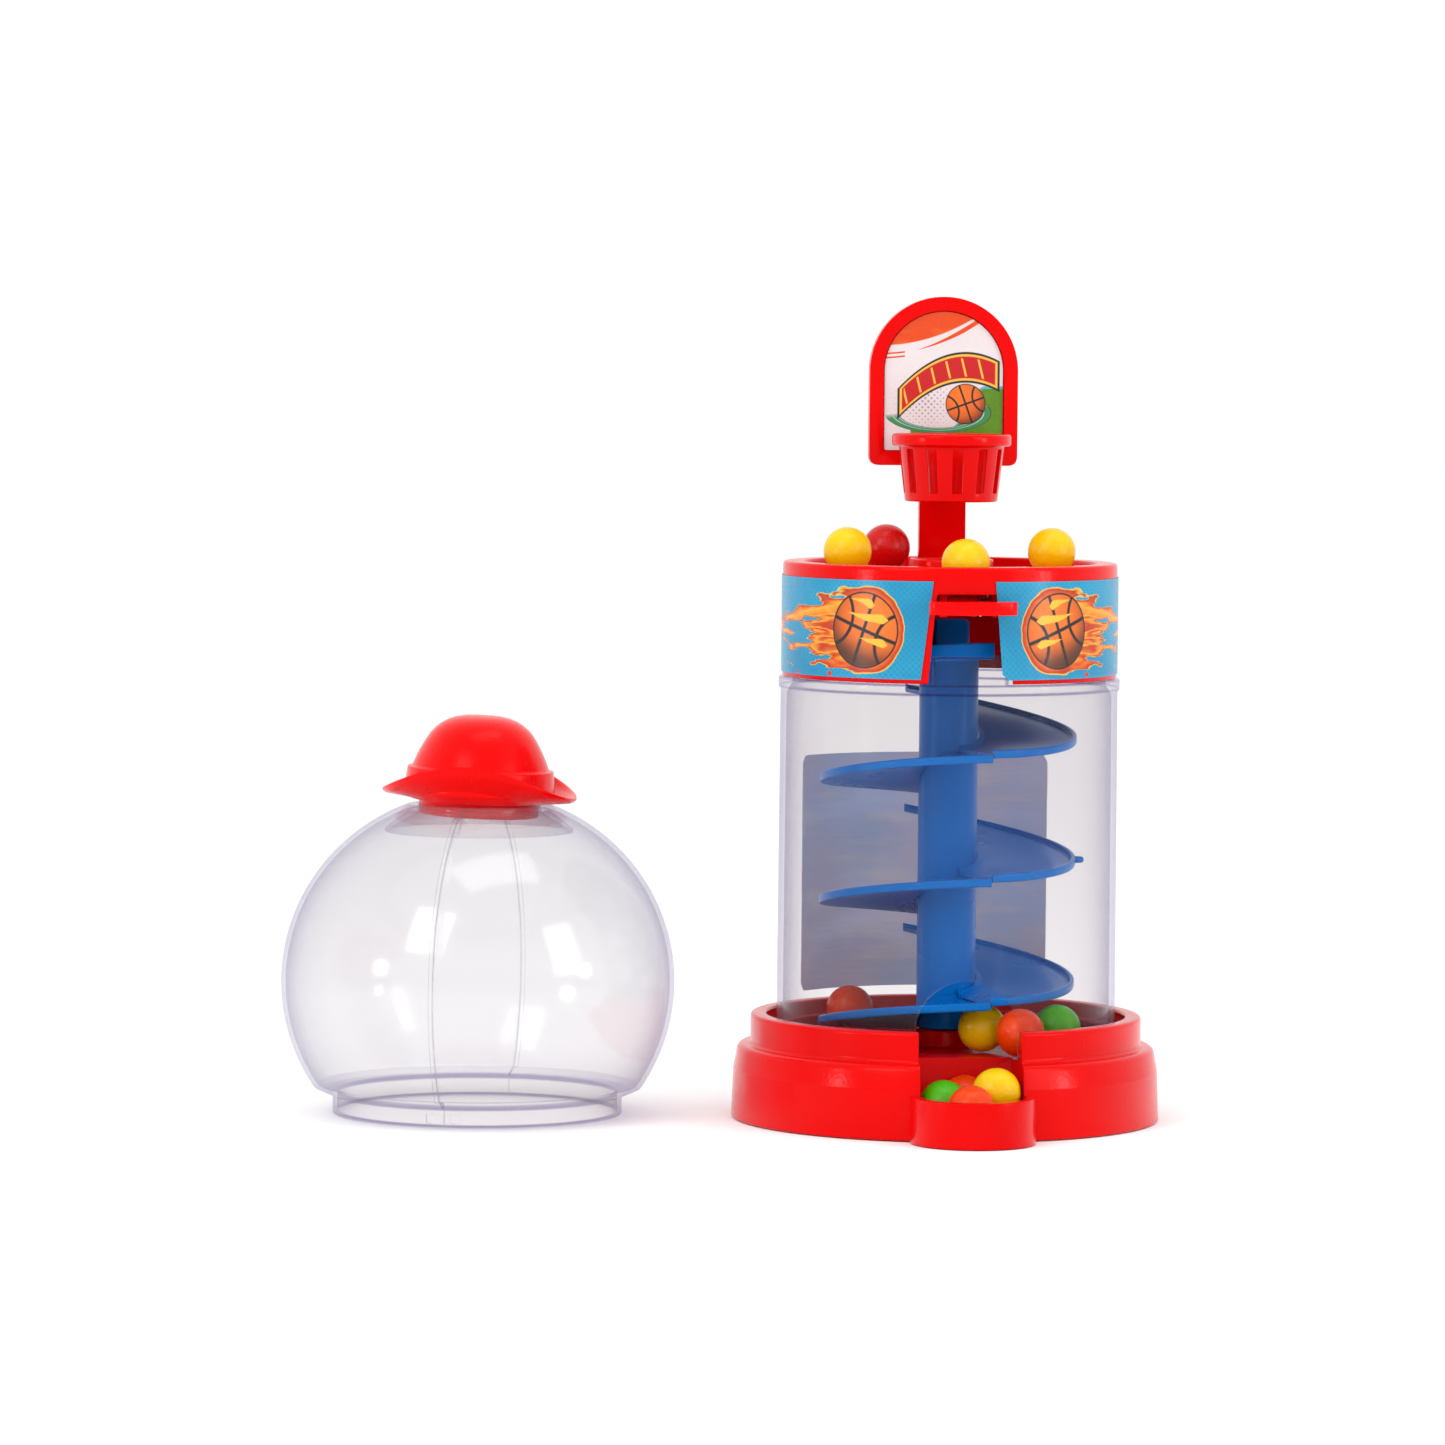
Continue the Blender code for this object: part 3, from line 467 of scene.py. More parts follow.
@dataclass(frozen=True)
class BoardPrint(ToyPrint):
    """Generic sports picture of the backboard: swooshes, a ribbon and a ball, with no lettering."""

    paper: Colour = (0.60, 0.54, 0.54)
    orange: Colour = (0.60, 0.050, 0.0006)
    green: Colour = (0.075, 0.20, 0.004)
    foot: float = 172.2

    def shader(self, sheet: Sheet) -> Value:
        """Build the shader."""
        across = sheet.x
        up = sheet.z - self.foot
        wave = sheet.noise(1.0, 2.0, sheet.spot(across * 0.10, up * 0.30))
        picture = sheet.mix(sheet.noise(40.0).step(0.3, 0.7), self.paper, (0.64, 0.585, 0.60))
        dots = self.dots(across, up, 1.15, 0.62 - (across + 5.0).hypot(up - 17.0) * 0.055)
        picture = sheet.mix(dots * 0.75, picture, (0.25, 0.20, 0.22))
        curve = up - 35.2 - across * 0.40 - across * across * 0.012
        streak = abs(curve + 1.9 - across * 0.05) - (across + 7.0).most(0.0).least(12.0) * 0.055
        tails = (abs(curve + 2.2).least(abs(curve + 3.3)) - 0.22).most(across + 10.5)
        swoosh = curve.step(-0.2, 0.2).most(streak.fade(-0.1, 0.15) * (across + 7.0).step(0.0, 0.2))
        swoosh = swoosh.most(tails.fade(-0.1, 0.1))
        picture = sheet.mix(swoosh, picture, self.orange)
        picture = sheet.mix(swoosh * wave.step(0.50, 0.60) * 0.4, picture, (0.66, 0.11, 0.004))
        hill = up - 9.4 - across.step(1.5, 11.0) * 11.4
        field = hill.fade(-0.2, 0.2) * across.step(-9.0, -8.6)
        rim_line = (abs(hill) - 0.35).fade(-0.1, 0.1) * across.step(0.0, 1.0)
        picture = sheet.mix(field, picture, self.green)
        picture = sheet.mix(field * wave.step(0.5, 0.6) * 0.4, picture, (0.10, 0.25, 0.006))
        picture = sheet.mix(rim_line, picture, (0.10, 0.34, 0.40))
        ring = (across + 1.5).hypot((up - 14.0) * math.sqrt(7.0))
        lower = (up - across * 0.12).fade(14.0, 15.5)
        for size, width, ink in ((12.4, 1.9, self.ink), (12.4, 1.6, (0.62, 0.60, 0.56)),
                                 (13.2, 0.8, (0.03, 0.22, 0.06)), (11.6, 0.6, (0.04, 0.26, 0.16))):
            band = (abs(ring - size) - width).fade(-0.1, 0.1)
            picture = sheet.mix(band * lower, picture, ink)
        arch = abs(up - 25.1 - across * 0.351 + across * across * 0.0296)
        ends = abs(across - 1.3) - 12.6
        edge = arch.most(ends + 3.0)
        for reach, ink in ((4.1, self.ink), (3.5, (0.72, 0.42, 0.05)), (2.9, (0.46, 0.004, 0.006))):
            picture = sheet.mix(edge.fade(reach - 0.15, reach + 0.15), picture, ink)
        notch = abs((across - 1.0 + (up - 26.0) * 0.25).wrap(4.4)) - 0.28
        slashes = notch.fade(-0.08, 0.08) * edge.fade(2.2, 2.6)
        picture = sheet.mix(slashes, picture, (0.72, 0.42, 0.05))
        picture = self.basketball(sheet, picture, across - 5.9, up - 16.4, 5.4)
        return self.varnish(sheet, picture)


@dataclass(frozen=True)
class LabelPaper(ToyPrint):
    """Rear label: grey-violet adhesive side within, which glows faintly as painted light, and a plain
    two-colour print outside.
    """

    adhesive: Colour = (0.66, 0.62, 0.74)
    blue: Colour = (0.48, 0.60, 0.84)
    printed: bool = False

    def shader(self, sheet: Sheet) -> Value:
        """Build the shader."""
        arc = sheet.x.angle_to(-sheet.y) * 45.2
        cloud = sheet.noise(26.0, 3.0)
        if not self.printed:
            colour = sheet.mix(cloud.step(0.35, 0.65), self.adhesive, self.blue)
            crease = sheet.noise(1.0, 3.0, sheet.spot(sheet.x * 0.05, sheet.y * 0.05, sheet.z * 0.3))
            colour = sheet.mix(crease.step(0.5, 0.65) * 0.4, colour, (0.74, 0.72, 0.72))
            # The adhesive side glows faintly: painted light that brightens it where it lies in the tube's
            # shade.
            return sheet.principled(
                Base_Color=colour, Roughness=cloud * 0.3 + 0.35, Specular_IOR_Level=0.4,
                Emission_Color=colour, Emission_Strength=0.24, Normal=sheet.bump(crease, 0.0004))
        up = sheet.z - 62.0
        side = -arc.sign() * (142.0 - abs(arc))
        ground = sheet.mix(self.dots(side, up, 2.2, up.step(-34.0, 30.0) * 0.7), (0.03, 0.36, 0.56),
                           (0.006, 0.22, 0.42))
        stripe = abs(up + side * 0.35)
        inks = ((17.0, (0.85, 0.55, 0.03)), (15.5, (0.55, 0.01, 0.008)), (9.0, (0.80, 0.78, 0.74)))
        for reach, ink in inks:
            ground = sheet.mix(stripe.fade(reach - 0.2, reach + 0.2), ground, ink)
        return self.varnish(sheet, self.basketball(sheet, ground, side, up, 15.0))


@dataclass(frozen=True)
class StudioPaper(Finish):
    """Pale seamless paper with a faint tooth."""

    colour: Colour = (0.955, 0.955, 0.955)

    def shader(self, sheet: Sheet) -> Value:
        """Build the shader."""
        tooth = sheet.noise(400.0)
        colour = sheet.mix(tooth, self.colour, (0.945, 0.945, 0.948))
        return sheet.principled(
            Base_Color=colour, Roughness=0.85, Specular_IOR_Level=0.2, Normal=sheet.bump(tooth, 0.00005))


RED = MouldedPlastic((0.68, 0.0004, 0.0004), (0.58, 0.0003, 0.0003), 0.20, 0.30)
BRIGHT_RED = MouldedPlastic((0.78, 0.0006, 0.0010), (0.68, 0.0004, 0.0006), 0.22, 0.30)
BLUE = MouldedPlastic((0.0006, 0.155, 0.52), (0.0006, 0.12, 0.42), 0.28, 0.35)
CANDY = {
    Slot.YELLOW: CandyGlaze((0.76, 0.46, 0.0006), (0.80, 0.55, 0.004)),
    Slot.RED_CANDY: CandyGlaze((0.50, 0.002, 0.002), (0.56, 0.005, 0.004)),
    Slot.GREEN: CandyGlaze((0.055, 0.36, 0.001), (0.11, 0.44, 0.004)),
    Slot.ORANGE: CandyGlaze((0.74, 0.045, 0.0006), (0.78, 0.08, 0.003)),
}


# ------------------------------------------------------------------ mesh tools

def rounded(outline: Sequence[tuple[float, ...]], closed: bool = True, steps: int = 4) -> list[Point]:
    """Round an outline's corners.

    Args:
        outline: points of (across, up) or (across, up, fillet radius).
        closed: whether the last point joins the first.
        steps: segments in each rounded corner.

    Returns:
        The outline with each fillet drawn as a short curve.
    """
    points: list[Point] = []
    count = len(outline)
    for index, corner in enumerate(outline):
        here = Vector(corner[:2])
        inner = closed or 0 < index < count - 1
        if len(corner) < 3 or not inner:
            points.append((here.x, here.y))
            continue
        before = Vector(outline[index - 1][:2]) - here
        after = Vector(outline[(index + 1) % count][:2]) - here
        half = before.angle(after) / 2
        cut = min(corner[2] / math.tan(half), before.length * 0.48, after.length * 0.48)
        first = here + before.normalized() * cut
        last = here + after.normalized() * cut
        for step in range(steps + 1):
            share = step / steps
            spot = first * (1 - share) ** 2 + here * 2 * share * (1 - share) + last * share ** 2
            points.append((spot.x, spot.y))
    return points


def arc(centre: Point, radius: float, first: float, last: float, steps: int) -> list[Point]:
    """Points of an arc between two angles in degrees."""
    angles = [math.radians(first + (last - first) * step / steps) for step in range(steps + 1)]
    return [(centre[0] + radius * math.cos(a), centre[1] + radius * math.sin(a)) for a in angles]


def at_azimuth(radius: float, azimuth: float, height: float = 0.0) -> Vector:
    """Point at a radius and an azimuth in degrees."""
    angle = math.radians(azimuth)
    return Vector((radius * math.sin(angle), -radius * math.cos(angle), height))


def make(name: str, fill: Callable[[bmesh.types.BMesh], None]) -> Piece:
    """Object whose mesh a function fills in millimetres."""
    mesh = bpy.data.meshes.new(name)
    shape = bmesh.new()
    fill(shape)
    bmesh.ops.remove_doubles(shape, verts=shape.verts, dist=0.0005)
    bmesh.ops.recalc_face_normals(shape, faces=shape.faces)
    bmesh.ops.scale(shape, vec=(MM, MM, MM), verts=shape.verts)
    shape.to_mesh(mesh)
    shape.free()
    piece = bpy.data.objects.new(name, mesh)
    bpy.context.scene.collection.objects.link(piece)
    return smooth(piece)


def smooth(piece: Piece, angle: float = 35.0) -> Piece:
    """Shade a piece smooth, with edges sharper than an angle kept."""
    piece.data.shade_smooth()
    piece.data.set_sharp_from_angle(angle=math.radians(angle))
    return piece


def loft(name: str, rings: Sequence[Sequence[Vector]], loop: bool = False) -> Piece:
    """Skin over closed sections, capped unless the sections form a loop."""
    def fill(shape: bmesh.types.BMesh) -> None:
        """Fill the mesh."""
        rows = [[shape.verts.new(point) for point in ring] for ring in rings]
        pairs = list(zip(rows, rows[1:])) + ([(rows[-1], rows[0])] if loop else [])
        count = len(rows[0])
        for ring, after in pairs:
            for i in range(count):
                j = (i + 1) % count
                shape.faces.new((ring[i], ring[j], after[j], after[i]))
        if not loop:
            shape.faces.new(rows[0])
            shape.faces.new(list(reversed(rows[-1])))

    return make(name, fill)


def turned(name: str, outline: Sequence[Point], facets: int = ROUND) -> Piece:
    """Solid turned about Z; points on the axis close it."""
    def fill(shape: bmesh.types.BMesh) -> None:
        """Fill the mesh."""
        rows = []
        for step in range(facets):
            azimuth = 360.0 * (step + 0.37) / facets
            rows.append([shape.verts.new(at_azimuth(r, azimuth, z)) for r, z in outline])
        on_axis = [abs(r) < 1e-6 for r, _ in outline]
        for index, ring in enumerate(rows):
            after = rows[(index + 1) % facets]
            for i in range(len(outline)):
                j = (i + 1) % len(outline)
                if on_axis[i] and on_axis[j]:
                    continue
                corners = [ring[i], ring[j], after[j], after[i]]
                if on_axis[i]:
                    corners = [ring[i], ring[j], after[j]]
                if on_axis[j]:
                    corners = [ring[i], ring[j], after[i]]
                shape.faces.new(corners)
        poles = [row[i] for row in rows for i, axis in enumerate(on_axis) if axis]
        bmesh.ops.remove_doubles(shape, verts=poles, dist=0.001)

    return make(name, fill)


def prism(name: str, outline: Sequence[Point], low: float, high: float,
          upright: bool = False) -> Piece:
    """Flat outline with a thickness along Z, or along Y when it stands upright."""
    def spot(first: float, second: float, depth: float) -> Vector:
        """Corner of the prism."""
        return Vector((first, depth, second)) if upright else Vector((first, second, depth))

    rings = [[spot(*point, depth) for point in outline] for depth in (low, high)]
    return loft(name, rings)


def lying(name: str, outline: Sequence[Point], low: float, high: float) -> Piece:
    """Prism along X whose outline is drawn in Y and Z."""
    piece = prism(name, outline, low, high)
    piece.matrix_world = Matrix(((0, 0, 1, 0), (1, 0, 0, 0), (0, 1, 0, 0), (0, 0, 0, 1)))
    return piece


def strip(radius: float, thickness: float, foot: Point, head: Point) -> list[Vector]:
    """Section of a thin sheet round the axis between two points of (azimuth, height)."""
    return [at_azimuth(radius, *foot), at_azimuth(radius + thickness, *foot),
            at_azimuth(radius + thickness, *head), at_azimuth(radius, *head)]


def pin_bore() -> Piece:
    """Tool that cuts the bore of the lever's pin."""
    return lying("bore", arc(PIN, 1.55, 4, 349, 23), -12.0, 12.0)


def box(name: str, low: Sequence[float], high: Sequence[float]) -> Piece:
    """Box between two corners."""
    corners = [(low[0], low[1]), (high[0], low[1]), (high[0], high[1]), (low[0], high[1])]
    return prism(name, corners, low[2], high[2])


def apply(piece: Piece) -> Piece:
    """Turn a piece's modifiers into its mesh."""
    graph = bpy.context.evaluated_depsgraph_get()
    mesh = bpy.data.meshes.new_from_object(piece.evaluated_get(graph))
    piece.modifiers.clear()
    piece.data = mesh
    return piece


def combine(piece: Piece, tool: Piece, operation: str) -> Piece:
    """Exact Boolean with a tool, which is used up."""
    cut = piece.modifiers.new("cut", "BOOLEAN")
    cut.operation = operation
    cut.solver = "EXACT"
    cut.object = tool
    apply(piece)
    bpy.data.objects.remove(tool, do_unlink=True)
    return piece


def carve(piece: Piece, *tools: Piece) -> Piece:
    """Cut tools out of a piece."""
    for tool in tools:
        combine(piece, tool, "DIFFERENCE")
    return piece


def join(piece: Piece, *tools: Piece) -> Piece:
    """Fuse tools to a piece."""
    for tool in tools:
        combine(piece, tool, "UNION")
    return piece


def soften(piece: Piece, width: float, angle: float = 40.0,
           segments: int = 3) -> Piece:
    """Round the sharp edges of a piece by a width in millimetres."""
    bevel = piece.modifiers.new("edges", "BEVEL")
    bevel.width = width * MM
    bevel.segments = segments
    bevel.limit_method = "ANGLE"
    bevel.angle_limit = math.radians(angle)
    bevel.use_clamp_overlap = True
    apply(piece)
    return smooth(piece, 40.0)


def dress(piece: Piece, material: Material) -> None:
    """Give a piece one material."""
    piece.data.materials.clear()
    piece.data.materials.append(material)


def install(piece: Piece, material: Material, node: str,
            body: Body = Body.MACHINE) -> None:
    """Dress a piece, place it on its body and let it stand for its CAD node."""
    dress(piece, material)
    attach(piece, body.value)
    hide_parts(node)
    LOG.info("%s on %s: %d faces", piece.name, body.value, len(piece.data.polygons))


def redress(node: str, material: Material) -> None:
    """Give a CAD node that stays visible its finish."""
    dress(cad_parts[node], material)
    LOG.info("%s keeps its CAD shape", node)


# ------------------------------------------------------------------ sub-assemblies

@dataclass
class Base:
    """Stepped red base with its tray, bottom plate and screws."""

    radius: float = 56.6
    ring: float = 51.7
    ring_top: float = 27.5
    floor: float = 19.0
    boss: float = 7.7
    boss_top: float = 23.5
    notch: float = 13.4
    wall: float = 2.6
    tray_floor: float = 2.3
    tray_back: float = -31.0
    lobe: float = 16.2
    lobe_top: float = 11.8

    def shell(self) -> Piece:
        """Shell with its floor, notch and half-round tray."""
        body = rounded([(0, self.boss_top), (self.boss, self.boss_top, 0.6), (self.boss, self.floor, 0.8),
                        (45.2, self.floor, 0.4), (45.2, self.boss_top, 0.4), (47.4, self.boss_top, 0.4),
                        (47.4, self.ring_top, 0.9), (self.ring, self.ring_top, 1.1), (self.ring, 19.5, 1.2),
                        (55.0, 19.3, 3.4), (56.15, 13.0, 2.4), (self.radius, 0.0, 0.5), (54.2, 0.0, 0.4),
                        (53.6, 13.5, 2.0), (50.0, 17.0, 1.0), (0, 17.0)], closed=False, steps=5)
        shell = turned("base_shell_fine", body, 160)
        outer = self.notch + self.wall
        join(shell, box("block", (-outer, -50.0, 0.0), (outer, self.tray_back + 2.0, 18.2)))
        lobe = prism("lobe", arc((0, -self.radius), self.lobe, 0, 357.5, 143), 0.0, self.lobe_top)
        join(shell, lobe)
        carve(shell,
              box("notch", (-self.notch, -self.radius, self.tray_floor), (self.notch, self.tray_back, 40.0)),
              prism("hollow", arc((0, -self.radius), 13.6, 1, 358, 119), self.tray_floor, 41.0))
        return soften(shell, 0.45, 42.0)

    def build(self) -> None:
        """Build and dress the base."""
        red = RED.material("red_moulded_base")
        install(self.shell(), red, "base_shell")
        redress("bottom_plate", RED.material("red_moulded_plate"))
        steel = PlatedSteel().material("plated_screws")
        for index in range(4):
            redress(f"base_screw_{index + 1}", steel)


@dataclass
class Barrel:
    """Clear tube and the label stuck on its rear."""

    top: float = 116.7
    bottom: float = 19.3
    arch: float = 13.5
    arch_centre: float = 26.8

    def tube(self) -> Piece:
        """Tube with a bead, a neck, a tongue and a front arch."""
        outline = rounded([(42.6, 121.0, 0.3), (42.6, self.top, 0.2), (45.0, self.top, 0.5),
                           (45.0, 114.1, 0.8), (44.47, 113.3, 0.6), (44.85, self.bottom, 0.3),
                           (43.25, self.bottom, 0.3), (42.9, 112.5, 0.8), (41.4, 115.0, 0.8),
                           (41.4, 121.0, 0.3)], steps=3)
        tube = turned("clear_tube_fine", outline, 144)
        tongue = turned("tongue", rounded([(44.3, 124.1, 0.4), (44.3, 116.3), (42.0, 116.3),
                                           (42.0, 124.1, 0.4)]), 144)
        combine(tongue, box("tongue_width", (-9.8, -50.0, 110.0), (9.8, -30.0, 130.0)), "INTERSECT")
        join(tube, tongue)
        outline = [(-self.arch, 5.0), (self.arch, 5.0)]
        outline += arc((0, self.arch_centre), self.arch, 0, 180, 40)
        carve(tube, prism("arch", outline, -60.0, -30.0, upright=True))
        return soften(tube, 0.35, 50.0, 2)

    def sheet(self, name: str, radius: float) -> Piece:
        """Thin sheet of the label with rounded corners and a faint ripple."""
        first, last, low, high = 136.2, 231.8, 30.5, 94.0
        rings = []
        steps = 60
        for step in range(steps + 1):
            azimuth = first + (last - first) * step / steps
            inset = 2.0 * max(0.0, 1.0 - min(step, steps - step) / steps * 55.0)
            rings.append(strip(radius + 0.03 * math.sin(step * 0.9), 0.07, (azimuth, low + inset),
                               (azimuth, high - inset)))
        return loft(name, rings)

    def build(self) -> None:
        """Build and dress the barrel."""
        # Painted refraction lines at the tube's top, its bead and the tongue's top, and beside the tongue in
        # the window.
        clear = ClearPlastic(refraction_lines=((116.5, 0.35), (114.2, 0.45), (123.8, 0.4)), window=9.5)
        install(self.tube(), clear.material("clear_barrel"), "clear_tube")
        for name, radius, side in (("label_adhesive", 45.12, LabelPaper().material("label_adhesive_side")),
                                   ("label_print", 45.25,
                                    LabelPaper(printed=True).material("label_printed_side"))):
            install(self.sheet(name, radius), side, "rear_label")


@dataclass
class Spiral:
    """Blue column with a landing, six half-turn ramps and a moulding nub."""

    column: float = 7.8
    foot: float = 23.8
    shoulder: float = 122.0
    reach: float = 33.9
    pitch: float = 32.3
    seam: float = 13.0
    left_rim: float = 98.2
    right_rim: float = 113.1
    left_drop: float = 11.1
    right_drop: float = 13.7
    depth: float = 2.2
    lip_end: float = 0.4
    lip_fade: float = 0.2
    gap: float = 0.3

    def post(self) -> Piece:
        """Column with its spigot, flat in front and slanting down to the rear."""
        outline = rounded([(0, 133.0), (5.3, 133.0, 0.4), (5.3, self.shoulder, 0.5),
                           (self.column, self.shoulder, 0.6), (self.column, self.foot, 0.4), (0, self.foot)],
                          closed=False)
        post = turned("spiral_column_fine", outline, 64)
        slant = box("slant", (-20.0, -20.0, 0.0), (20.0, 20.0, 20.0))
        tilt = Matrix.Rotation(math.radians(-24), 4, "X")
        slant.matrix_world = Matrix.Translation((0, 0, 130.6 * MM)) @ tilt
        front = box("front", (-20.0, -20.0, self.shoulder + 0.6), (20.0, -3.6, 150.0))
        return soften(carve(post, slant, front), 0.3, 40.0)

    def ramp(self, name: str, first: float, last: float, rim: Callable[[float], float],
             lip: float = 0.0) -> Piece:
        """Half-turn ramp.

        Args:
            name: the piece's name.
            first: azimuth where it starts, in degrees.
            last: azimuth where it ends.
            rim: rim height for each share of a full half-turn.
            lip: how much deeper the underside lies near the start.

        Returns:
            The ramp.
        """
        inner = self.column + self.gap
        steps = max(6, round(abs(last - first) / 2.5))
        rings = []
        for step in range(steps + 1):
            azimuth = first + (last - first) * step / steps
            share = abs(azimuth - first) / 180.0
            height = rim(share)
            foot = -self.depth - lip * min(1.0, max(0.0, (self.lip_end - share) / self.lip_fade))
            floor = foot + 1.0
            section = rounded([(inner, foot), (self.reach, foot, 0.5), (self.reach, 0.0, 0.45),
                               (self.reach - 1.2, 0.0, 0.45), (self.reach - 1.3, floor, 0.7),
                               (inner + 1.6, floor, 1.2), (inner, floor + 0.9)], steps=3)
            end = (step == 0) - (step == steps)
            ring = []
            for radius, drop in section:
                back_off = math.degrees(math.asin(self.gap / 2 / radius)) * end
                ring.append(at_azimuth(radius, azimuth - back_off, height + drop))
            rings.append(ring)
        return loft(name, rings)

    def gusset(self, index: int, rim: float) -> Piece:
        """Three-cornered web under the end of a right half-turn."""
        outline = [(-15.0, rim - 1.6), (-8.2, rim - 1.6), (-8.2, rim - 4.6)]
        turn = Matrix.Rotation(math.radians(self.seam + 4.5), 3, "Z")
        rings = [[turn @ Vector((side, y, z)) for y, z in outline] for side in (-0.5, 0.5)]
        return loft(f"gusset_{index}", rings)

    def nub(self, azimuth: float, height: float) -> Piece:
        """Short stub that the mould's gate left on a rim."""
        rings = []
        for radius, size in ((33.2, 1.0), (35.6, 0.85), (36.1, 0.5)):
            wide = size / 33.0 * 57.3
            rings.append([at_azimuth(radius, azimuth + wide * math.cos(a), height + size * math.sin(a))
                          for a in (math.tau * k / 16 for k in range(16))])
        return loft("nub", rings)

    def build(self) -> None:
        """Build and dress the spiral."""
        blue = BLUE.material("blue_moulded_spiral")
        install(self.post(), blue, "spiral_column")
        landing = self.ramp("spiral_landing_fine", self.seam, self.seam - 180.0,
                            lambda t: 127.3 - 10.3 * (1 - math.cos(math.pi * t)) / 2, 2.2)
        install(landing, blue, "spiral_landing")
        for turn in range(3):
            top = self.right_rim - turn * self.pitch
            right = self.ramp(f"spiral_ramp_{2 * turn + 1}_fine", self.seam + 180.0, self.seam,
                              lambda t, top=top: top - self.right_drop * math.sin(math.pi * t / 2))
            join(right, self.gusset(turn, top - self.right_drop))
            if turn == 1:
                join(right, self.nub(84.5, top - self.right_drop * math.sin(math.pi * 108.5 / 360) - 1.1))
            install(smooth(right), blue, f"spiral_ramp_{2 * turn + 1}")
            start = self.left_rim - turn * self.pitch
            last = self.seam - (180.0 if turn < 2 else 123.0)
            left = self.ramp(f"spiral_ramp_{2 * turn + 2}_fine", self.seam, last,
                             lambda t, top=start: top - self.left_drop * (1 - math.cos(math.pi * t)) / 2)
            install(left, blue, f"spiral_ramp_{2 * turn + 2}")


@dataclass
class Collar:
    """Red collar with its bowl, window, lever ears and printed bands."""

    radius: float = 44.1
    bottom: float = 117.0
    top: float = 147.2
    bowl: float = 38.6
    floor: float = 143.5
    underside: float = 142.0
    catch: float = 9.5
    launch: float = 4.9

    def shell(self) -> Piece:
        """Collar and bowl in one moulding."""
        outline = rounded([(self.bowl, self.top, 0.8), (self.radius, self.top, 1.0),
                           (self.radius, self.bottom, 0.4), (42.9, self.bottom, 0.3),
                           (42.9, self.underside, 0.6), (self.catch, self.underside, 0.3),
                           (self.catch, 148.0, 0.6), (11.3, 148.0, 0.6), (11.3, self.floor, 0.8),
                           (self.bowl, self.floor, 0.9)])
        shell = turned("bowl_collar_fine", outline, 144)
        window = rounded([(-11.6, 111.0), (11.9, 111.0), (8.4, 140.2, 0.8), (-9.0, 140.2, 0.8)])
        carve(shell, prism("window", window, -60.0, -35.0, upright=True),
              prism("launch_hole", arc((0, -31.0), self.launch, 3, 356, 47), 130.0, 150.0))
        for side in (-1, 1):
            near, far = sorted((side * 6.0, side * 8.0))
            ear = box("ear", (near, PIN[0] - 2.8, 134.2), (far, PIN[0] + 2.8, 142.6))
            join(shell, ear)
        return soften(carve(shell, pin_bore()), 0.35, 45.0)

    def band(self, name: str, below: Point, above: Point) -> Piece:
        """Printed band.

        Args:
            name: the piece's name.
            below: azimuths of the lower edge's two ends, the one beside the window first.
            above: azimuths of the upper edge's two ends.

        Returns:
            The band, with its lower corner beside the window cut off.
        """
        low, high, radius = 118.1, 143.5, 44.32
        rings = []
        steps = 100
        for step in range(steps + 1):
            share = (step / steps) ** 1.6
            lower, upper = (ends[0] + (ends[1] - ends[0]) * share for ends in (below, above))
            beside = abs(lower - below[0]) * math.radians(44.4)
            foot = low + (max(0.0, 1.5 - beside * 0.8) if below[0] > 0 else 0.0)
            rings.append(strip(radius, 0.1, (lower, foot), (upper, high)))
        return loft(name, rings)

    def build(self) -> None:
        """Build and dress the collar."""
        install(self.shell(), RED.material("red_moulded_collar"), "bowl_collar")
        art = CollarPrint().material("collar_art")
        for name, below, above in (("left", (-16.9, -118.0), (-12.9, -118.0)),
                                   ("right", (10.6, 118.0), (8.0, 118.0))):
            install(self.band(f"collar_band_{name}", below, above), art,
                    f"collar_sticker_{name}")


@dataclass
class Launcher:
    """Lever, pin and torsion spring."""

    low: float = 135.1
    high: float = 138.5

    def lever(self) -> Piece:
        """Tab with a convex edge, barrel and lifting finger."""
        outline = [(-5.2, PIN[0]), (-5.2, -45.4, 0.5), (-11.5, -45.4, 0.9), (-11.3, -48.1, 1.0)]
        outline += arc((0, -28.9), 22.6, 242.5, 297.5, 24)
        outline += [(11.3, -48.1, 1.0), (11.5, -45.4, 0.9), (5.2, -45.4, 0.5), (5.2, PIN[0])]
        lever = prism("launcher_lever_fine", rounded(outline), self.low, self.high)
        barrel = lying("barrel", arc(PIN, 2.6, 3, 353, 39), -5.5, 2.0)
        join(lever, barrel, box("arm", (-2.5, PIN[0] - 0.5, 136.0), (2.0, -28.0, 138.9)),
             box("finger", (-2.45, -33.3, 138.0), (2.5, -28.1, 141.2)))
        carve(lever, box("spring_room", (2.2, -41.1, 130.0), (6.0, -35.1, 145.0)), pin_bore())
        return soften(lever, 0.45, 40.0)

    def spring(self) -> Piece:
        """Torsion spring of round wire, with its two legs."""
        radius, turns, per_turn = 2.15, 3, 28
        points = [Vector((2.75, PIN[0] - 1.9, PIN[1] - radius - 0.15))]
        for step in range(turns * per_turn + per_turn // 4 + 1):
            angle = math.tau * step / per_turn
            across = 2.75 + 2.4 * step / (turns * per_turn + 7)
            points.append(Vector((across, PIN[0] + radius * math.sin(angle),
                                  PIN[1] - radius * math.cos(angle))))
        points.append(Vector((5.15, PIN[0] + radius, 141.3)))
        rings = []
        for index, point in enumerate(points):
            ahead = points[min(index + 1, len(points) - 1)] - points[max(index - 1, 0)]
            turn = ahead.to_track_quat("Z", "X")
            rings.append([point + turn @ Vector((0.3 * math.cos(a), 0.3 * math.sin(a), 0))
                          for a in (math.tau * k / 12 for k in range(12))])
        return loft("torsion_spring", rings)

    def build(self) -> None:
        """Build and dress the launcher."""
        install(self.lever(), BRIGHT_RED.material("bright_red_lever"), "launcher_lever",
                Body.LEVER)
        steel = PlatedSteel().material("plated_spring")
        install(self.spring(), steel, "lever_spring")
        redress("lever_pin", steel)


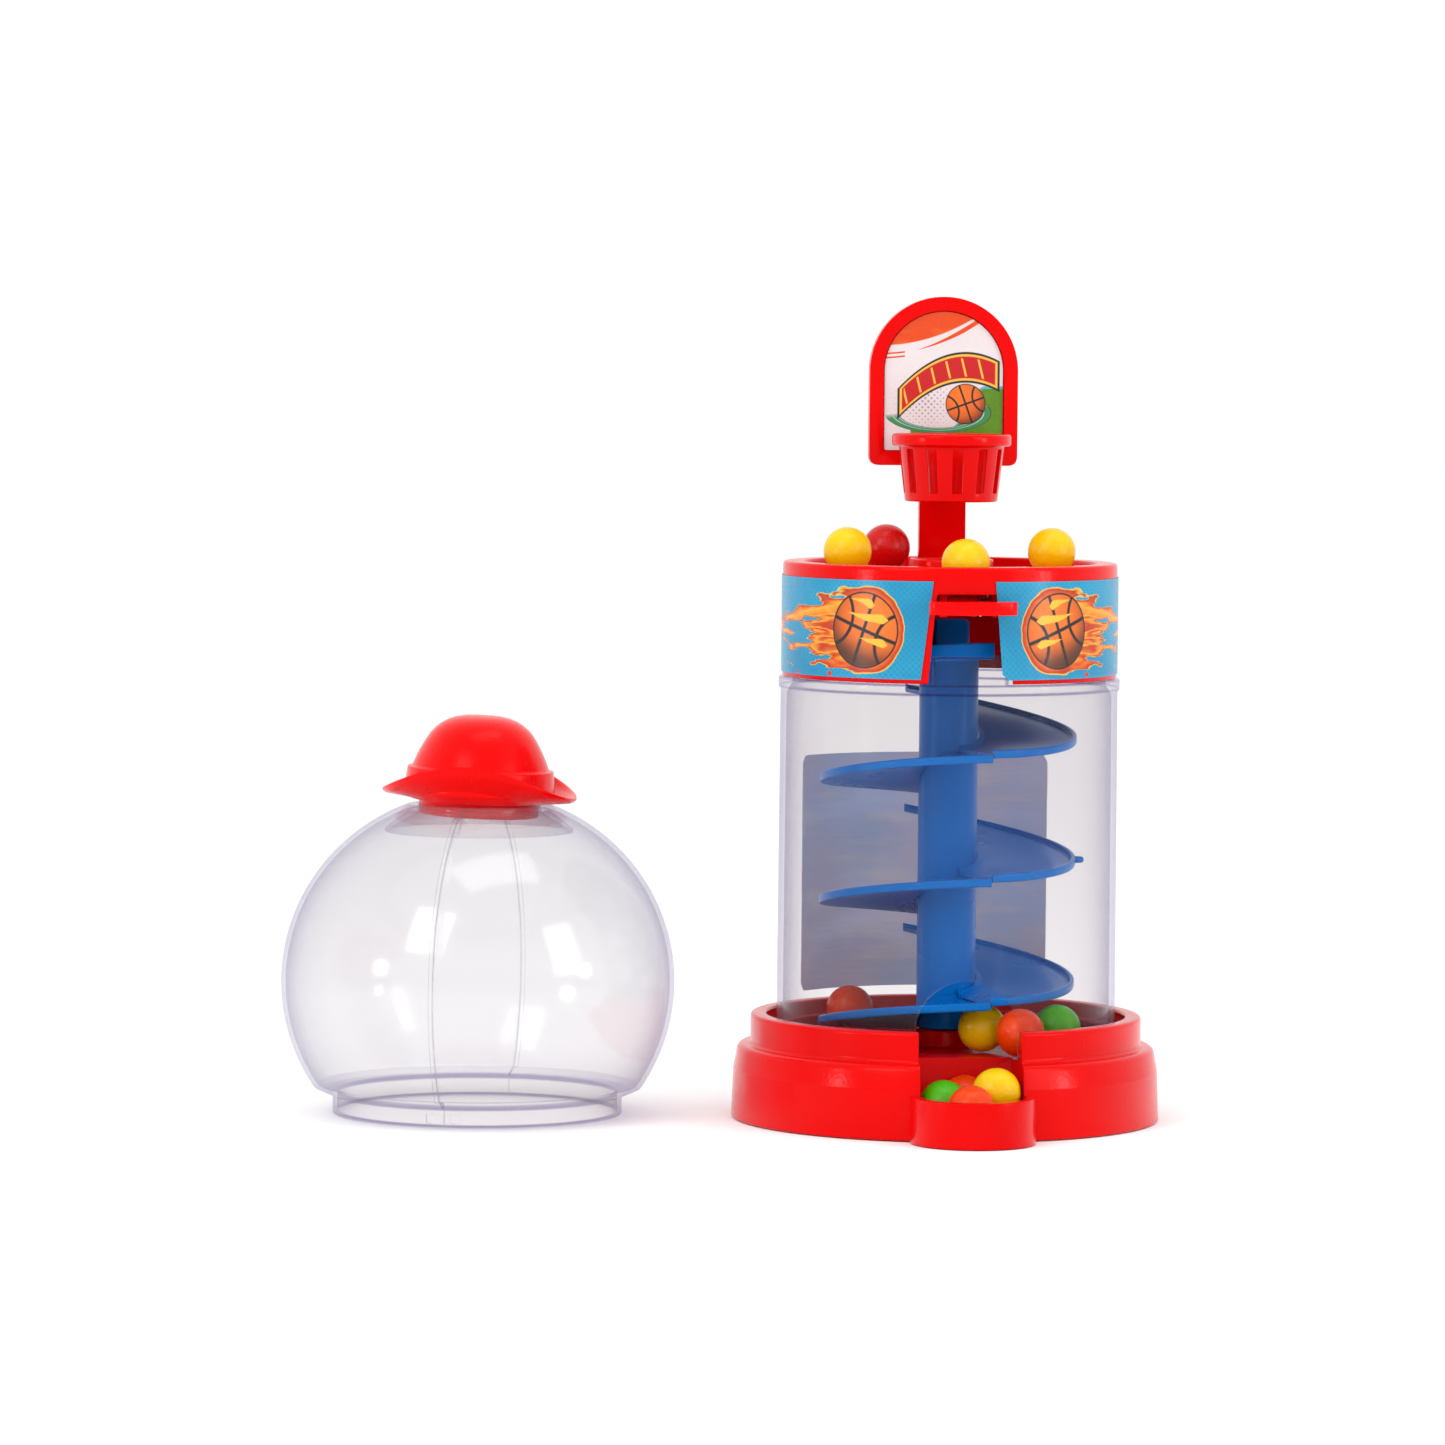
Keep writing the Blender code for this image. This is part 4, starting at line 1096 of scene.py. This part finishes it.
@dataclass
class Goal:
    """Post, backboard with its picture, and slotted hoop."""

    half: float = 19.85
    bottom: float = 172.2
    straight: float = 197.2
    front: float = 16.5
    back: float = 20.0
    border: float = 3.7
    slots: int = 12

    def outline(self, inset: float, fillet: float) -> list[Point]:
        """Outline of the board, drawn in by a distance."""
        half = self.half - inset
        corners = rounded([(-half, self.straight), (-half, self.bottom + inset, fillet),
                           (half, self.bottom + inset, fillet), (half, self.straight)], closed=False, steps=5)
        return corners + arc((0, self.straight), half, 0, 180, 48)[1:-1]

    def board(self) -> Piece:
        """Board with a raised border on its post."""
        board = prism("backboard_post_fine", self.outline(0.0, 2.6), self.front, self.back, upright=True)
        carve(board, prism("recess", self.outline(self.border, 0.9), 10.0, self.front + 1.2, upright=True))
        join(board, box("post", (-6.2, 17.0, 143.8), (6.2, self.back - 0.1, self.bottom + 2.0)))
        return soften(board, 0.5, 40.0)

    def hoop(self) -> Piece:
        """Basket with a round rim, tapered bars and a bracket."""
        outline = rounded([(13.0, 180.9, 0.7), (15.7, 180.9, 0.9), (15.7, 177.7, 0.9), (13.9, 177.7, 0.5),
                           (12.2, 163.1, 0.5), (10.9, 163.1, 0.4), (12.6, 177.7, 0.5)])
        hoop = turned("hoop_basket_fine", outline, 120)
        join(hoop, box("bracket", (-4.5, 13.6, 174.5), (4.5, 16.2, 180.3)))
        for index in range(self.slots):
            if index == self.slots // 2:
                continue
            slot = rounded([(-1.4, 165.3, 0.5), (1.4, 165.3, 0.5), (1.4, 177.0, 0.5), (-1.4, 177.0, 0.5)])
            tool = prism("slot", slot, -17.0, -9.0, upright=True)
            tool.matrix_world = Matrix.Rotation(math.tau * index / self.slots, 4, "Z")
            carve(hoop, tool)
        return soften(hoop, 0.3, 45.0, 2)

    def picture(self) -> Piece:
        """Printed sheet in the board's recess."""
        return prism("backboard_picture", self.outline(self.border + 0.3, 0.6), self.front + 0.7,
                     self.front + 0.9, upright=True)

    def build(self) -> None:
        """Build and dress the goal."""
        red = RED.material("red_moulded_goal")
        install(self.board(), red, "backboard_post")
        install(self.hoop(), red, "hoop_basket")
        install(self.picture(), BoardPrint().material("board_art"),
                "backboard_sticker")


@dataclass
class Globe:
    """Clear two-part globe, with a seam rib, a neck ring and clips."""

    at: Vector = Vector((-123.4, 11.9, 0.0))
    seam: float = -16.5
    radius: float = 52.1
    semi_height: float = 50.5
    centre: float = 34.9
    wall: float = 1.2
    neck: float = 38.3
    mouth: float = 16.4

    def side(self, offset: float, first: float, last: float, steps: int) -> list[Point]:
        """Outline of the globe's side, moved out by an offset."""
        wide, tall = self.radius + offset, self.semi_height + offset
        angles = (math.radians(first + (last - first) * k / steps) for k in range(steps + 1))
        return [(wide * math.cos(a), self.centre + tall * math.sin(a)) for a in angles]

    def place(self, piece: Piece, yaw: float) -> Piece:
        """Move a piece's mesh from the axis to the globe's place."""
        turn = Matrix.Rotation(math.radians(yaw), 4, "Z")
        piece.data.transform(Matrix.Translation(self.at * MM) @ turn)
        return piece

    def half(self, name: str, side: int) -> Piece:
        """One half with its share of the rib and its clip bosses."""
        shell = [(self.mouth, 82.15)] + self.side(0.0, 68.6, -33.4, 56)
        shell += rounded([(43.0, 6.2), (39.6, 5.4, 1.0), (self.neck, 4.9, 0.5), (self.neck, 0.0, 0.4),
                          (self.neck - self.wall, 0.0, 0.4), (self.neck - self.wall, 6.6, 0.8),
                          (42.4, 7.6)], closed=False)[1:]
        shell += self.side(-self.wall, -31.8, 68.0, 56) + [(self.mouth, 80.9)]
        half = turned(name, shell, 160)
        lip = [(16.45, 81.3), (17.6, 81.4), (25.0, 75.4), (24.8, 74.7), (16.45, 79.9)]
        join(half, turned("lip", lip, 96))
        rib = turned("rib", self.side(0.5, 62, -33, 40) + self.side(-0.6, -33, 62, 40), 160)
        combine(rib, box("slab", (-0.95, -70.0, -9.0), (0.95, 70.0, 90.0)), "INTERSECT")
        join(half, rib)
        near, far = sorted((side * 0.15, side * 80.0))
        combine(half, box("room", (near, -80.0, -9.0), (far, 80.0, 99.0)), "INTERSECT")
        boss = prism("boss", arc((side * 3.1, 2.6), 1.25, 0, 350, 27), -39.0, -37.6, upright=True)
        near, far = sorted((side * 0.3, side * 4.6))
        bar = box("bar", (near, -38.75, 1.5), (far, -37.4, 3.7))
        join(half, bar, boss)
        return self.place(soften(half, 0.22, 50.0, 2), self.seam)

    def build(self) -> None:
        """Build and dress the globe."""
        # The lines at 5.4 and 0.6 mm are painted refraction shade at the globe's neck ring.
        clear = ClearPlastic((0.93, 0.925, 0.93), (0.50, 0.46, 0.62), 5.5, 0.022, 0.5,
                             ((5.4, 0.9), (0.6, 0.5)), mirror=0.034).material("clear_globe")
        for name, side in (("left", -1), ("right", 1)):
            install(self.half(f"globe_{name}_fine", side), clear, f"globe_{name}_half",
                    Body.GLOBE)


@dataclass
class Hat:
    """Red hat-shaped lid with a dented crown, a band and a saddle brim."""

    globe: Globe
    root: float = 16.5
    seat: float = 82.5
    reach: Point = (25.8, 22.5)
    thickness: float = 1.8
    yaw: float = -14.0
    tilt: float = 2.4
    lift: float = 0.5

    def brim(self) -> Piece:
        """Oval brim that dips at its sides and turns up in front and behind."""
        facets = 144
        rows = [k / 14 for k in range(15)]
        rings = []
        for step in range(facets):
            angle = math.tau * step / facets
            tip = math.hypot(self.reach[0] * math.cos(angle), self.reach[1] * math.sin(angle))
            height = 87.3 - 4.1 * math.cos(2 * angle)
            lower, upper = [], []
            for row in rows:
                radius = self.root + (tip - self.root) * row
                level = self.seat + (height - self.seat) * row ** 1.6
                edge = max(0.0, row - 0.86) / 0.14
                lip = 0.6 * edge * edge
                spot = (radius * math.cos(angle), radius * math.sin(angle))
                lower.append(Vector((*spot, level + lip)))
                upper.append(Vector((*spot, level + self.thickness - lip)))
            rings.append(lower + list(reversed(upper)))
        return loft("brim", rings, loop=True)

    def place(self, piece: Piece) -> Piece:
        """Move the hat's mesh to the globe's mouth, tilted a little towards +X."""
        seat = Matrix.Translation((0, 0, self.seat * MM))
        turn = Matrix.Rotation(math.radians(self.yaw), 4, "Z") @ seat
        tilt = Matrix.Rotation(math.radians(self.tilt), 4, "Y") @ seat.inverted()
        rise = Matrix.Translation((0, 0, self.lift * MM))
        piece.data.transform(Matrix.Translation(self.globe.at * MM) @ rise @ turn @ tilt)
        return piece

    def lid(self) -> Piece:
        """Crown, band, brim and plug in one moulding."""
        dome = [(0, 105.35), (2.5, 105.3), (5.0, 105.0), (7.4, 104.4), (9.2, 103.65), (10.9, 102.65),
                (12.3, 101.5), (13.6, 100.05), (14.8, 98.2), (15.9, 96.2), (16.9, 94.2), (17.6, 92.5)]
        outline = dome + rounded([(17.6, 92.5), (18.1, 91.2, 0.5), (19.3, 91.0, 0.6), (20.0, 84.6, 1.2),
                                  (18.2, self.seat, 0.5), (15.9, self.seat, 0.3), (15.9, 78.6, 0.5),
                                  (14.4, 78.6, 0.3), (15.6, 92.0, 4.0), (14.2, 96.5, 2.5), (11.4, 100.3, 3.0),
                                  (7.0, 102.9, 2.0), (0, 103.6)], closed=False, steps=5)[1:]
        crown = turned("hat_lid_fine", outline, 144)
        for vertex in crown.data.vertices:
            share = min(1.0, max(0.0, (vertex.co.z / MM - 97.0) / 8.0))
            dent = math.exp(-(vertex.co.x / MM / 6.0) ** 2 - (vertex.co.y / MM / 9.0) ** 2)
            vertex.co.z -= 0.35 * dent * share * MM
        join(crown, self.brim())
        return self.place(soften(crown, 0.3, 50.0, 2))

    def build(self) -> None:
        """Build and dress the hat."""
        install(self.lid(), BRIGHT_RED.material("bright_red_hat"), "hat_lid", Body.HAT)


@dataclass
class Gumballs:
    """The gumballs where they lie."""

    radius: float = 6.33
    groups: tuple[tuple[str, tuple[Slot, ...]], ...] = (
        ("gumball_bowl_", (Slot.YELLOW, Slot.RED_CANDY, Slot.YELLOW)),
        ("gumball_floor_", (Slot.ORANGE, Slot.YELLOW, Slot.ORANGE, Slot.GREEN)),
        ("gumball_tray_", (Slot.GREEN, Slot.ORANGE, Slot.YELLOW, Slot.ORANGE)))

    def ball(self, node: str, seed: float) -> Piece:
        """Slightly uneven ball at the middle of its CAD node."""
        low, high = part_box(node)
        middle = (Vector(low) + Vector(high)) / 2 / MM

        def fill(shape: bmesh.types.BMesh) -> None:
            """Fill the mesh."""
            bmesh.ops.create_icosphere(shape, subdivisions=5, radius=self.radius)
            for vertex in shape.verts:
                way = vertex.co.normalized()
                swell = math.sin(way.x * 3.1 + seed) * math.sin(way.y * 2.7 + 2 * seed)
                swell *= math.cos(way.z * 2.3)
                vertex.co = middle + vertex.co * (1.0 - 0.012 * abs(swell))

        return make(f"{node}_fine", fill)

    def build(self) -> None:
        """Build and dress every gumball."""
        finishes = {slot: glaze.material(slot.value) for slot, glaze in CANDY.items()}
        for prefix, slots in self.groups:
            for index, slot in enumerate(slots):
                node = f"{prefix}{index + 1}"
                install(self.ball(node, index + len(prefix)), finishes[slot], node)
        install(self.ball("gumball_launch", 2.5), finishes[Slot.YELLOW], "gumball_launch",
                Body.LAUNCH_BALL)


@dataclass
class Studio:
    """Pale floor, soft lights and the camera."""

    azimuth: float = -5.5
    elevation: float = 3.4
    distance: float = 1.73
    target: Vector = Vector((-59.5, 5.7, 104.1))
    lens: float = 163.0
    roll: float = 0.5

    def camera(self) -> None:
        """Place the camera."""
        data = bpy.data.cameras.new("studio_camera")
        data.lens = self.lens
        data.sensor_width = 36.0
        data.clip_end = 20.0
        camera = bpy.data.objects.new("studio_camera", data)
        level = math.radians(self.elevation)
        away = at_azimuth(math.cos(level), self.azimuth, math.sin(level))
        look = (-away).to_track_quat("-Z", "Y").to_matrix().to_4x4()
        roll = Matrix.Rotation(math.radians(self.roll), 4, "Z")
        camera.matrix_world = Matrix.Translation(self.target * MM + away * self.distance) @ look @ roll
        bpy.context.scene.collection.objects.link(camera)
        bpy.context.scene.camera = camera

    def light(self, name: str, azimuth: float, height: float, distance: float, size: Point,
              power: float) -> None:
        """Soft area light that looks at the middle of the scene."""
        data = bpy.data.lights.new(name, "AREA")
        data.shape = "RECTANGLE"
        data.size, data.size_y = size
        data.energy = power
        lamp = bpy.data.objects.new(name, data)
        spot = at_azimuth(distance, azimuth, height)
        aim = Vector((-0.06, 0.0, 0.09)) - spot
        lamp.matrix_world = Matrix.Translation(spot) @ aim.to_track_quat("-Z", "Y").to_matrix().to_4x4()
        bpy.context.scene.collection.objects.link(lamp)

    def build(self) -> None:
        """Build the studio."""
        floor = make("studio_floor", lambda shape: bmesh.ops.create_grid(
            shape, x_segments=2, y_segments=2, size=9000.0))
        floor.location.z = -0.0003
        dress(floor, StudioPaper().material("studio_paper"))
        world = bpy.data.worlds.new("studio_world")
        world.use_nodes = True
        ground = world.node_tree.nodes["Background"]
        ground.inputs["Color"].default_value = (1.0, 1.0, 1.0, 1.0)
        ground.inputs["Strength"].default_value = 1.06
        bpy.context.scene.world = world
        for lamp in (("key_box", -42.0, 0.75, 1.1, (0.5, 0.6), 4.0),
                     ("fill_box", 48.0, 0.55, 1.2, (0.45, 0.7), 3.0),
                     ("top_box", 10.0, 1.3, 0.25, (0.9, 0.5), 3.0),
                     ("left_lamp", -66.0, 0.2, 1.0, (0.09, 0.09), 0.8),
                     ("right_lamp", 59.0, 0.2, 1.0, (0.09, 0.09), 0.8)):
            self.light(*lamp)
        bpy.context.scene.view_settings.view_transform = "Standard"
        self.camera()


def main() -> None:
    """Build every sub-assembly."""
    logging.basicConfig(level=logging.INFO, format="%(message)s")
    globe = Globe()
    for assembly in (Studio(), Base(), Barrel(), Spiral(), Collar(), Launcher(), Goal(), globe, Hat(globe),
                     Gumballs()):
        LOG.info("-- %s", type(assembly).__name__)
        assembly.build()


if __name__ == "__main__":
    main()
